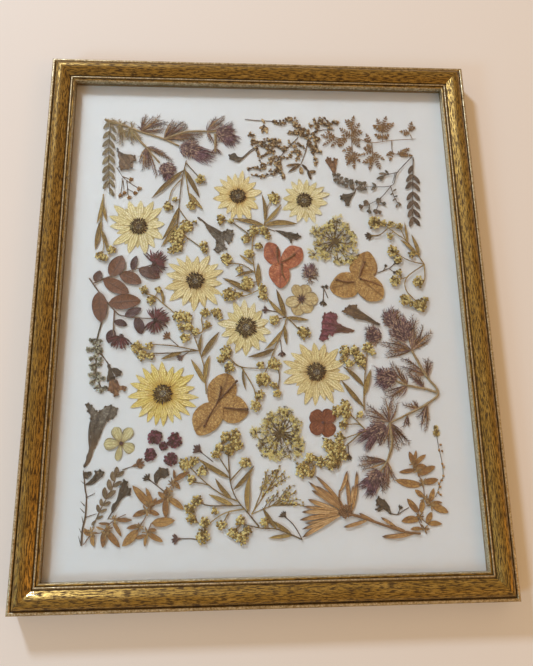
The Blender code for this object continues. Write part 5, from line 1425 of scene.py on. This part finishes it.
lavender = Specimen(93)
lavender.stem(LAVENDER_STEM, 1.5, 1.1, 0.2, tint=0.2)
for x, y in LAVENDER_CUPS:
    low = 0.2 + lavender.vary(0, 0.8)
    foot, _ = nearest_on([LAVENDER_STEM], (x, y + 2))
    lavender.stem([foot, (x, y)], 1.0, 2.8, low, 0, lavender.vary(0.1, 0.5), sides=5)
    turn = lavender.vary(0, 2 * pi)
    for k in range(CUP_TEETH):
        aim = turn + k * 2 * pi / CUP_TEETH + lavender.vary(-0.3, 0.3)
        end = around((x, y), lavender.vary(2.2, 3.4), aim)
        lavender.leaf(around((x, y), 0.3, aim), end, 2.2, low + 0.3, 0, lavender.vary(0.2, 1.0),
                      shape=(0.9, 0.7), cup=0.15, rise=0.15, blank=SLIVER)
    lavender.bud(x, y, 0.8, low + 0.5, 1, blank=GRAIN)
lavender.place("lavender_spike_florets", "lavender", [lavender_cup, lavender_throat], "lavender_spike")


# -------------------- russet leafy twigs and strap leaf fan
# Fox-brown twigs with pointed leaves, and a fan of strap leaves from one crown, their tips darker.

russet_blade = plant(
    "russet_leaf", (112, 71, 32), (145, 99, 47), (179, 136, 74), feather=4, vein=(102, 60, 28),
    edge=(93, 55, 26), edge_width=0.2, roughness=0.65, blotch=0.5)
pale_leaflet = plant(
    "pale_node_leaflet", (109, 75, 38), (150, 113, 67), (187, 152, 100), feather=3, vein=(101, 68, 35),
    edge=(89, 58, 31), roughness=0.7)
russet_stalk = plant("russet_stalk", (105, 70, 40), (133, 91, 53), roughness=0.8)
strap_blade = plant(
    "strap_leaf", (141, 95, 55), (181, 135, 80), (213, 170, 118), ribs=2, vein=(104, 64, 28),
    edge=(95, 57, 26), tip=(84, 48, 23), tip_reach=0.82, roughness=0.65, blotch=0.5)

RUSSET_TWIGS = {  # height, stems, leaves, rosettes
    "russet_twig_left": (0.9,
        [[(-164, -219), (-159, -212), (-156, -210), (-148, -209), (-143, -203), (-137, -198),
          (-128, -194)]],
        [(-137, -198, -122, -199, 4.5), (-137, -203, -131, -213, 4), (-141, -210, -132, -222, 6.5),
         (-144, -211, -147, -222, 5.5), (-156, -212, -155, -221, 4.5), (-159, -210, -165, -207, 4),
         (-143, -200, -152, -201, 3), (-146, -207, -154, -204, 2.5), (-159, -212, -164, -205, 4)],
        [(-138, -198), (-143, -206), (-158, -209), (-145, -210)]),
    "russet_twig_lower_left": (0.9,
        [[(-119, -211), (-111, -198), (-107, -190), (-101, -185), (-92, -181), (-89, -172), (-85, -165)],
         [(-105, -202), (-109, -212)]],
        [(-110, -184, -123, -169, 8), (-109, -183, -111, -171, 4.5), (-108, -184, -101, -180, 4),
         (-111, -190, -122, -196, 6), (-107, -191, -98, -195, 5), (-93, -183, -104, -186, 4),
         (-92, -181, -100, -175, 5), (-88, -181, -76, -191, 6.5), (-91, -185, -92, -198, 6.5),
         (-105, -202, -84, -200, 9.5), (-114, -204, -127, -206, 4.5), (-116, -208, -130, -221, 9),
         (-110, -207, -100, -208, 4), (-106, -211, -94, -218, 5.5), (-109, -212, -110, -222, 3.5),
         (-111, -214, -119, -215, 4), (-85, -166, -72, -158, 5.5), (-87, -164, -86, -155, 3),
         (-84, -167, -80, -173, 4.5), (-89, -172, -95, -177, 5)],
        [(-108, -186), (-110, -191), (-91, -180), (-115, -205), (-108, -210), (-87, -168), (-90, -174)]),
    "russet_twig_right": (0.2,
        [[(138, -153), (145, -170), (146, -184), (139, -200), (143, -214)], [(146, -184), (153, -192)],
         [(139, -200), (149, -209)]],
        [(138, -156, 135, -142, 6), (139, -155, 151, -145, 5), (140, -157, 151, -156, 6),
         (140, -159, 124, -161, 5), (142, -164, 159, -156, 7.5), (145, -173, 120, -168, 8.5),
         (145, -171, 161, -168, 6.9), (146, -184, 138, -177, 5.5), (150, -189, 156, -176, 5.5),
         (151, -192, 168, -198, 8), (140, -198, 130, -185, 6.9), (146, -187, 142, -198, 6),
         (139, -204, 123, -205, 7.5), (146, -207, 152, -197, 6), (147, -208, 161, -208, 5.5),
         (138, -153, 142, -141, 4), (151, -190, 163, -189, 4), (142, -212, 131, -212, 4)],
        [(138, -154), (146, -171), (147, -186), (140, -201), (144, -212), (152, -191), (142, -160)]),
}
ROSETTE_LEAFLETS = 7

for number, (twig_name, (low, stems, leaves, rosettes)) in enumerate(RUSSET_TWIGS.items(), 101):
    twig = Specimen(number)
    grown = branch(twig, stems, [], 1.0, low)
    for x0, y0, x1, y1, across in leaves:
        twig.leaf(nearest_on(grown, (x0, y0))[0], (x1, y1), across * 0.88, low + twig.vary(0.05, 0.4), 1,
                  shape=(0.9, 0.62), bow=twig.vary(-0.05, 0.05), cup=0.04)
    for x, y in rosettes:
        for k in range(ROSETTE_LEAFLETS):
            aim = k * GOLDEN_ANGLE + twig.vary(-0.3, 0.3)
            twig.leaf((x, y), around((x, y), twig.vary(3.5, 6), aim), 1.4,
                      low + 0.6 + twig.vary(0, 0.3), 2, shape=(0.9, 0.6), cup=0.1)
    twig.place(twig_name + "_leaves", "russet_leaf", [russet_stalk, russet_blade, pale_leaflet], twig_name)

STRAPS = [
    (72, -194, 45, -163, 5), (70, -194, 45, -172, 5), (68, -194, 41, -176, 5.5), (66, -195, 37, -184, 6),
    (66, -196, 31, -195, 5.5), (66, -197, 29, -202, 6), (68, -198, 31, -210, 5), (68, -197, 31, -217, 6.9),
    (67, -178, 75, -159, 5), (75, -196, 74, -165, 5.5), (77, -197, 84, -159, 5), (92, -203, 69, -209, 5),
    (136, -215, 104, -218, 6), (98, -204, 84, -197, 4), (120, -212, 104, -201, 4),
    (70, -194, 38, -168, 4.5), (67, -195, 33, -190, 4.5), (69, -197, 34, -205, 4.5),
    (74, -195, 80, -172, 4), (126, -213, 112, -208, 3.5)]
CROWN_KNOBS = 40
fan = Specimen(104)
fan.stem([(66, -195), (90, -202), (110, -209), (125, -214), (140, -216)], 2.6, 2.0, 0.9, tint=0.6)
fan.stem([(71, -197), (66, -186), (67, -176)], 1.8, 1.4, 0.9, tint=0.6)
for x0, y0, x1, y1, across in STRAPS:
    fan.leaf((x0, y0), (x1, y1), across * 0.7, 0.9 + fan.vary(0, 0.7), 1, shape=(1.15, 0.42),
             bow=fan.vary(-0.05, 0.05), cup=0.06, blank=PETAL)
fan.packed((71, -195), 6, CROWN_KNOBS, 1.2, 1.1, 0)
fan.place("strap_leaf_fan_leaves", "russet_leaf", [russet_stalk, strap_blade], "strap_leaf_fan")


# -------------------- trumpet flowers
# Tubular flowers pressed flat on their sides: a long tube that widens to a torn, curled mouth. The
# folded petals show as dark lines.

grey_trumpet = plant(
    "grey_trumpet_petal", (60, 50, 40), (104, 92, 78), (150, 138, 118), ribs=6, vein=(44, 34, 28),
    base=(112, 82, 52), base_reach=0.62, edge=(58, 48, 40), edge_width=0.3, net=(62, 52, 46),
    roughness=0.65, blotch=0.8)
brown_trumpet = plant(
    "brown_trumpet_petal", (78, 53, 34), (115, 83, 51), (150, 117, 73), ribs=5, vein=(61, 41, 30),
    base=(65, 50, 38), base_reach=0.35, net=(65, 42, 33), roughness=0.65, blotch=0.8)
magenta_petal = plant(
    "magenta_petal", (89, 30, 48), (124, 49, 68), (156, 90, 99), ribs=5, vein=(73, 23, 38),
    base=(105, 70, 45), base_reach=0.72, net=(78, 27, 41), roughness=0.6, blotch=0.8)

TRUMPETS = {  # finish, slot, height, outline, tube's end, mouth
    "grey_trumpet": (grey_trumpet, "trumpet", 0.1,
        [(-68, 96), (-66, 97), (-58, 90), (-50, 84), (-45, 80), (-40, 81), (-37, 83), (-32, 82), (-31, 78),
         (-33, 71), (-36, 68), (-40, 73), (-40, 66), (-38, 62), (-42, 61), (-46, 58), (-50, 61), (-48, 69),
         (-53, 76), (-58, 84), (-61, 90)], (-67, 96), (-38, 70)),
    "large_grey_trumpet": (grey_trumpet, "trumpet", 0.1,
        [(-169, -95), (-167, -94), (-164, -96), (-159, -101), (-156, -101), (-151, -97), (-146, -96),
         (-140, -99), (-141, -104), (-144, -108), (-148, -110), (-151, -112), (-153, -120), (-156, -129),
         (-159, -136), (-164, -149), (-168, -152), (-164, -137), (-163, -129), (-164, -117), (-164, -108),
         (-167, -101)], (-166, -150), (-154, -98)),
    "magenta_trumpet": (magenta_petal, "magenta", 0.1,
        [(60, -6), (66, -5), (71, -6), (73, -9), (72, -14), (80, -20), (88, -23), (88, -25), (80, -26),
         (70, -26), (67, -30), (63, -27), (62, -32), (57, -34), (54, -32), (56, -24), (57, -16), (58, -10)],
        (88, -24), (57, -18)),
    "brown_trumpet_right": (brown_trumpet, "trumpet", 0.9,
        [(78, -4), (81, -1), (85, 2), (92, 2), (94, -3), (100, -10), (106, -13), (114, -16), (114, -19),
         (106, -16), (98, -13), (90, -11), (82, -7)], (119, -18), (82, -2)),
    "brown_trumpet_left": (brown_trumpet, "trumpet", 0.9,
        [(-153, 174), (-151, 173), (-148, 168), (-141, 167), (-134, 165), (-133, 160), (-137, 158),
         (-136, 152), (-140, 150), (-147, 149), (-149, 152), (-150, 160), (-152, 168)], (-152, 174),
        (-138, 155)),
}
FOLDS = (-0.16, -0.09, -0.02, 0.05, 0.12, 0.18)  # how far each leans from the middle line
MOUTH_START = 0.68  # share of the way from the tube's end to the mouth
MOUTH_LOBES = 3  # at each corner of the outline there


def trumpet(flower, outline, base, tip, low, finish=0, ragged=0.55):
    """The flattened flower, torn at its edge, with folds from its tube and crumpled lobes at its mouth."""
    flower.sheet(outline, base, tip, low, finish, tint=0.5, wrinkle=0.5, spacing=1.3, ragged=ragged)
    length, aim = way(base, tip)
    for side in FOLDS:
        start = around(base, length * 0.25, aim + side * 0.2)
        end = around(base, length * flower.vary(0.75, 0.95), aim + side)
        flower.leaf(start, end, length * 0.04, low + 0.5, finish, flower.vary(), shape=(1.2, 0.6),
                    bow=flower.vary(-0.04, 0.04))
    for x, y in outline:
        if (x - base[0]) * cos(aim) + (y - base[1]) * sin(aim) > MOUTH_START * length:
            for _ in range(MOUTH_LOBES):
                turn = flower.vary(0, 2 * pi)
                flower.leaf(around((x, y), 1.2, turn + pi), around((x, y), 1.2, turn), 2.0, low + 0.7,
                            finish, flower.vary(), shape=(1, 0.5), cup=0.2, blank=SLIVER)


for number, (flower_name, (finish, slot, low, outline, base, tip)) in enumerate(TRUMPETS.items(), 111):
    flower = Specimen(number)
    trumpet(flower, outline, base, tip, low)
    flower.place(flower_name + "_flower", slot, [finish], flower_name)


# -------------------- viola, pale floret and hydrangea floret
# Three small open flowers: a cream viola with a dark star, a five-petalled floret with bruised edges,
# and one hydrangea floret of four rounded sepals.

viola_petal = plant(
    "viola_petal", (165, 136, 89), (201, 176, 121), (222, 203, 156), ribs=3, vein=(168, 137, 93),
    edge=(86, 72, 62), edge_width=0.3, base=(121, 82, 63), base_reach=0.3, net=(159, 126, 79),
    roughness=0.6, blotch=0.7)
flower_eye = plant("dark_flower_eye", (50, 27, 44), (78, 46, 57), (103, 70, 59), roughness=0.8)
floret_petal = plant(
    "pale_floret_petal", (173, 155, 101), (206, 191, 136), (224, 213, 165), ribs=4, vein=(155, 130, 81),
    base=(154, 122, 75), base_reach=0.3, edge=(77, 70, 61), edge_width=0.42, net=(155, 134, 83),
    roughness=0.6, blotch=0.6)
hydrangea_sepal = plant(
    "hydrangea_sepal", (108, 44, 18), (141, 70, 32), (169, 102, 56), ribs=6, vein=(89, 35, 16),
    edge=(86, 34, 15), net=(95, 41, 18), roughness=0.6, blotch=0.7)

OPEN_FLOWERS = {  # finish, slot, middle, petals (tip and width), radius of the eye, petal shape
    "viola": (viola_petal, "pale_petal", (37, 9),
        [((31, -8), 14), ((46, -5), 14), ((54, 9), 15), ((44, 24), 13), ((30, 24), 11), ((21, 4), 12)], 2.2,
        (1.5, 0.5)),
    "pale_floret": (floret_petal, "pale_petal", (-135, -131),
        [((-142, -116), 10), ((-126, -117), 10), ((-151, -132), 11.5), ((-123, -138), 10.5),
         ((-138, -147), 6.5)], 1.6, (1.9, 0.5)),
    "hydrangea_floret": (hydrangea_sepal, "hydrangea", (54, -114),
        [((43, -104), 15), ((64, -103), 15), ((42, -123), 14), ((63, -126), 15)], 1.2, (1.4, 0.45)),
}
EYE_GRAINS = 24
VIOLA_STREAKS = 9

for number, (flower_name, parts) in enumerate(OPEN_FLOWERS.items(), 121):
    finish, slot, centre, petals, eye, shape = parts
    flower = Specimen(number)
    for i, (tip, across) in enumerate(petals):
        aim = way(centre, tip)[1]
        flower.leaf(around(centre, -1, aim), tip, across, 0.1 + 0.25 * (i % 3), shape=shape, cup=0.02,
                    rise=0.1, blank=PETAL)
    flower.packed(centre, eye, EYE_GRAINS, 0.5, 0.9, 1)
    if flower_name == "viola":
        for i in range(VIOLA_STREAKS):
            end = around(centre, flower.vary(4, 6.5), i * 0.7)
            flower.leaf(centre, end, 1.0, 0.85, 1, 0.1, blank=SLIVER)
    flower.place(flower_name + "_petals", slot, [finish, flower_eye], flower_name)


# -------------------- loose buds, florets and twigs
# Small pieces tucked between the larger ones: maroon florets, dark trumpets, a bristly bud, a thorny
# twig and fine beaded twigs. Each is glued down on its own.

maroon_petal = plant(
    "maroon_petal", (52, 10, 24), (92, 28, 46), (150, 76, 98), ribs=3, vein=(52, 12, 26), edge=(44, 12, 22),
    edge_width=0.35, roughness=0.6, blotch=0.2)
purple_petal = plant(
    "purple_trumpet_petal", (67, 41, 41), (94, 64, 60), (122, 90, 78), ribs=4, vein=(54, 30, 33),
    roughness=0.65, blotch=0.6)
dark_petal = plant(
    "dark_petal", (43, 34, 26), (69, 55, 41), (100, 81, 59), ribs=4, vein=(41, 28, 21), roughness=0.65,
    blotch=0.6)
brown_petal = plant(
    "brown_star_petal", (86, 51, 33), (121, 80, 49), (154, 112, 71), ribs=3, vein=(78, 46, 31),
    roughness=0.65, blotch=0.5)
thin_twig = plant("thin_twig", (71, 53, 38), (98, 75, 52), roughness=0.85)
rusty_bud = plant("rusty_bud", (112, 73, 32), (149, 101, 43), (181, 138, 76), roughness=0.75)

MAROON_FLORETS = [(-104, -126, 7.5), (-86, -129, 7.5), (-96, -134, 4.5), (-108, -142, 6.5), (-89, -146, 7)]
MAROON_PETALS = 34
maroon = Specimen(131)
for x, y, radius in MAROON_FLORETS:
    maroon.bud(x, y, radius * 0.65, 0.1, 0, 0.2, tall=0.5 / radius)
    for k in range(MAROON_PETALS):
        foot = around((x, y), radius * 0.6 * (k / MAROON_PETALS) ** 0.5, k * GOLDEN_ANGLE)
        reach = radius * maroon.vary(0.26, 0.56)
        maroon.leaf(foot, around(foot, reach, k * GOLDEN_ANGLE + maroon.vary(-0.5, 0.5)), radius * 0.4,
                    1.2 - 0.026 * k + maroon.vary(0, 0.4), shape=(1.7, 0.35), cup=0.2,
                    bow=maroon.vary(-0.15, 0.15))
maroon.place("maroon_florets", "magenta", [maroon_petal, flower_eye])

DARK_TRUMPETS = [  # outline, tube's end, mouth, stem, finish: 0 dark, 2 brown
    ([(-35, 168), (-34, 164), (-30, 162), (-25, 160), (-21, 164), (-19, 167), (-25, 166), (-29, 171)],
     (-20, 166), (-34, 166), [(-20, 167), (-12, 175), (-4, 181)], 0),
    ([(68, 163), (70, 167), (73, 166), (75, 162), (77, 166), (80, 165), (80, 161), (79, 158), (78, 152),
      (77, 148), (75, 149)], (76, 149), (74, 166), [(76, 149), (81, 146)], 2),
    ([(12, 83), (20, 82), (28, 80), (35, 79), (38, 76), (34, 73), (30, 74), (28, 70), (25, 74), (18, 79)],
     (12, 82), (36, 76), [(4, 85), (12, 82)], 0),
    ([(98, 128), (95, 123), (93, 119), (90, 112), (87, 112), (86, 117), (82, 119), (82, 122), (85, 124),
      (90, 125)], (97, 126), (85, 117), [(97, 126), (99, 132)], 0),
    ([(-131, -164), (-128, -166), (-128, -170), (-125, -172), (-125, -177), (-128, -178), (-132, -180),
      (-135, -185), (-138, -190), (-140, -193), (-141, -186), (-137, -182), (-134, -174), (-133, -168)],
     (-140, -191), (-129, -167), [(-140, -191), (-144, -198)], 0),
    ([(101, -186), (103, -183), (108, -186), (112, -190), (114, -196), (114, -199), (111, -197),
      (107, -194), (103, -196), (100, -194), (104, -191), (101, -190)], (114, -198), (102, -188),
     [(114, -198), (120, -199), (125, -196), (131, -193)], 0),
    ([(-103, -167), (-104, -160), (-99, -154), (-92, -155), (-91, -160), (-94, -163), (-99, -163),
      (-101, -168)], (-102, -168), (-95, -156), [(-94, -175), (-103, -168), (-108, -164)], 0),
    ([(-148, -61), (-145, -60), (-141, -61), (-138, -64), (-139, -67), (-142, -68), (-145, -65)],
     (-148, -61), (-139, -66), [(-158, -45), (-155, -50), (-151, -55), (-148, -61)], 0),
    ([(-151, -59), (-147, -60), (-146, -64), (-144, -69), (-143, -73), (-150, -73), (-151, -68),
      (-150, -63)], (-149, -59), (-147, -73), [(-151, -55), (-149, -60)], 0),
    ([(-149, -74), (-146, -71), (-141, -72), (-139, -77), (-136, -77), (-133, -79), (-134, -82),
      (-139, -81), (-140, -86), (-143, -87), (-146, -83), (-150, -82), (-149, -78)], (-145, -72),
     (-142, -85), [(-147, -66), (-145, -73)], 2)]
STAR_TRUMPETS = [  # stem up to the flower's foot, the flower's length, finish: 0 dark, 1 purple, 2 brown
    ([(-62, -217), (-70, -216), (-78, -216)], 10, 1), ([(-50, -149), (-60, -141)], 11, 1),
    ([(77, -133), (77, -142)], 8, 0), ([(15, -33), (16, -43)], 8, 1), ([(-72, -43), (-79, -48)], 8, 1),
    ([(-83, -40), (-92, -32)], 9, 2), ([(20, -6), (5, -3)], 8, 1), ([(122, 79), (115, 78)], 10, 0),
    ([(-133, -155), (-124, -152)], 12, 2), ([(-103, -168), (-107, -165)], 8, 0),
    ([(64, 10), (61, 18), (60, 20)], 4, 0), ([(60, 20), (59, 9)], 8, 0),
    ([(31, -219), (24, -207), (17, -200)], 8, 0), ([(120, -199), (122, -195)], 5, 0),
    ([(116, 37), (128, 42), (133, 46)], 7, 0), ([(122, 39), (124, 43)], 4, 0),
    ([(128, 42), (132, 39)], 4, 0), ([(-160, -45), (-155, -50), (-151, -56)], 4, 0),
    ([(58, 22), (60, 22)], 5, 0)]
STAR_PETALS = 5
small_flowers = Specimen(132)
for outline, base, tip, stem, finish in DARK_TRUMPETS:
    trumpet(small_flowers, outline, base, tip, 0.3, finish, 0.35)
    small_flowers.stem(stem, 1.0, 0.8, 0.2, 3)
for stem, size, finish in STAR_TRUMPETS:
    small_flowers.stem(stem, 0.9, 0.7, 0.3, 3)
    foot = stem[-1]
    aim = way(stem[-2], foot)[1]
    throat = around(foot, size * 0.4, aim)
    small_flowers.stem([foot, throat], 1.0, size * 0.3, 0.3, finish)
    for k in range(STAR_PETALS):
        turn = aim + (k - 2) * 0.5 + small_flowers.vary(-0.15, 0.15)
        end = around(throat, size * small_flowers.vary(0.5, 0.68), turn)
        small_flowers.leaf(around(throat, -1, aim), end, size * 0.22, 0.35 + 0.15 * (k % 3), finish,
                           shape=(1.0, 0.7))
small_flowers.place("small_dark_flowers", "trumpet", [dark_petal, purple_petal, brown_petal, thin_twig])

UMBEL_TWIG = [  # stem, radius of the buds at its end
    ([(-152, 152), (-149, 147), (-146, 142)], 0), ([(-146, 142), (-137, 138.5)], 2.2),
    ([(-141, 137), (-131, 130), (-128, 128)], 2.4), ([(-146, 140), (-146, 130), (-147, 120)], 2.2),
    ([(-141, 136), (-139, 120), (-138, 118)], 2.2), ([(-140, 128), (-132, 123)], 2),
    ([(-145, 137), (-143, 123)], 2), ([(-146, 142), (-141, 137)], 0), ([(-141, 137), (-140, 128)], 0)]
END_BUDS = 9
umbel_twig = Specimen(133)
for path, radius in UMBEL_TWIG:
    umbel_twig.stem(path, 0.8, 0.6, 0.2)
    if radius:
        umbel_twig.packed(path[-1], radius, END_BUDS, 0.85, 0.2, 1)
umbel_twig.place("umbel_twig", "golden_spray", [thin_twig, rusty_bud])

THISTLE_BRACTS = [
    (37, 36), (38, 32), (55, 30), (56, 36), (39, 41), (54, 42), (44, 24), (49, 25), (42, 47), (49, 48)]
thistle = Specimen(134)
bristle_head(thistle, 46, 36, 5, 1.1, pi / 2, [(46, 47), (41, 45), (52, 45), (50, 48)])
for tip in THISTLE_BRACTS:
    spiny_bract(thistle, (46, 32), tip, 1.2)
thistle.place("thistle_bud", "sea_holly", SEA_HOLLY_FINISHES)

THORNY_STEM = [(-166, -220), (-166, -207), (-164, -195), (-164, -179), (-166, -169), (-168, -155)]
THORNS = [
    (-164, -179, -156, -175), (-165, -168, -170, -164), (-165, -186, -169, -182), (-165, -192, -169, -188),
    (-164, -196, -154, -193), (-165, -202, -167, -195), (-166, -210, -169, -205), (-166, -220, -169, -212)]
BROWN_BUD = [
    (-165, -168), (-158, -167), (-151, -160), (-150, -157), (-153, -155), (-157, -156), (-158, -160),
    (-161, -163)]
thorny = Specimen(135)
thorny.stem(THORNY_STEM, 1.4, 1.0, 0.2)
for x0, y0, x1, y1 in THORNS:
    thorny.stem([(x0, y0), (x1, y1)], 1.0, 0.35, 0.3)
trumpet(thorny, BROWN_BUD, (-164, -168), (-153, -157), 0.3, 1, 0.3)
for x, y in ((-166, -156), (-161, -156), (-164, -160)):
    thorny.leaf((-166, -162), (x, y), 4.5, 0.5, 1, shape=(1.4, 0.5))
thorny.place("thorny_twig", "trumpet", [thin_twig, dark_petal])

BEADED_TWIG = [
    (163, -128), (164, -137), (165, -145), (166, -152), (166, -165), (163, -170), (160, -178), (157, -184)]
BEADS = [
    (166, -136), (164, -141), (167, -142), (166, -154), (167, -157), (166, -165), (164, -169), (161, -172),
    (162, -175), (160, -180), (162, -182)]
BUD_SCALES = 9  # round each bud at the twig's end
beaded = Specimen(136)
beaded.stem(BEADED_TWIG, 0.6, 0.5, 0.2)
for x, y in BEADS:
    beaded.bud(x, y, 1.0, 0.2, 1, long=1.4)
for x, y, radius in ((163, -125, 4.2), (163, -120, 2.8)):
    for k in range(BUD_SCALES):
        end = around((x, y), radius, k * 2 * pi / BUD_SCALES)
        beaded.leaf((x, y), end, 1.6, 0.3 + 0.1 * (k % 3), 2)
beaded.place("beaded_twig", "golden_spray", [thin_twig, rusty_bud, spray_heads])
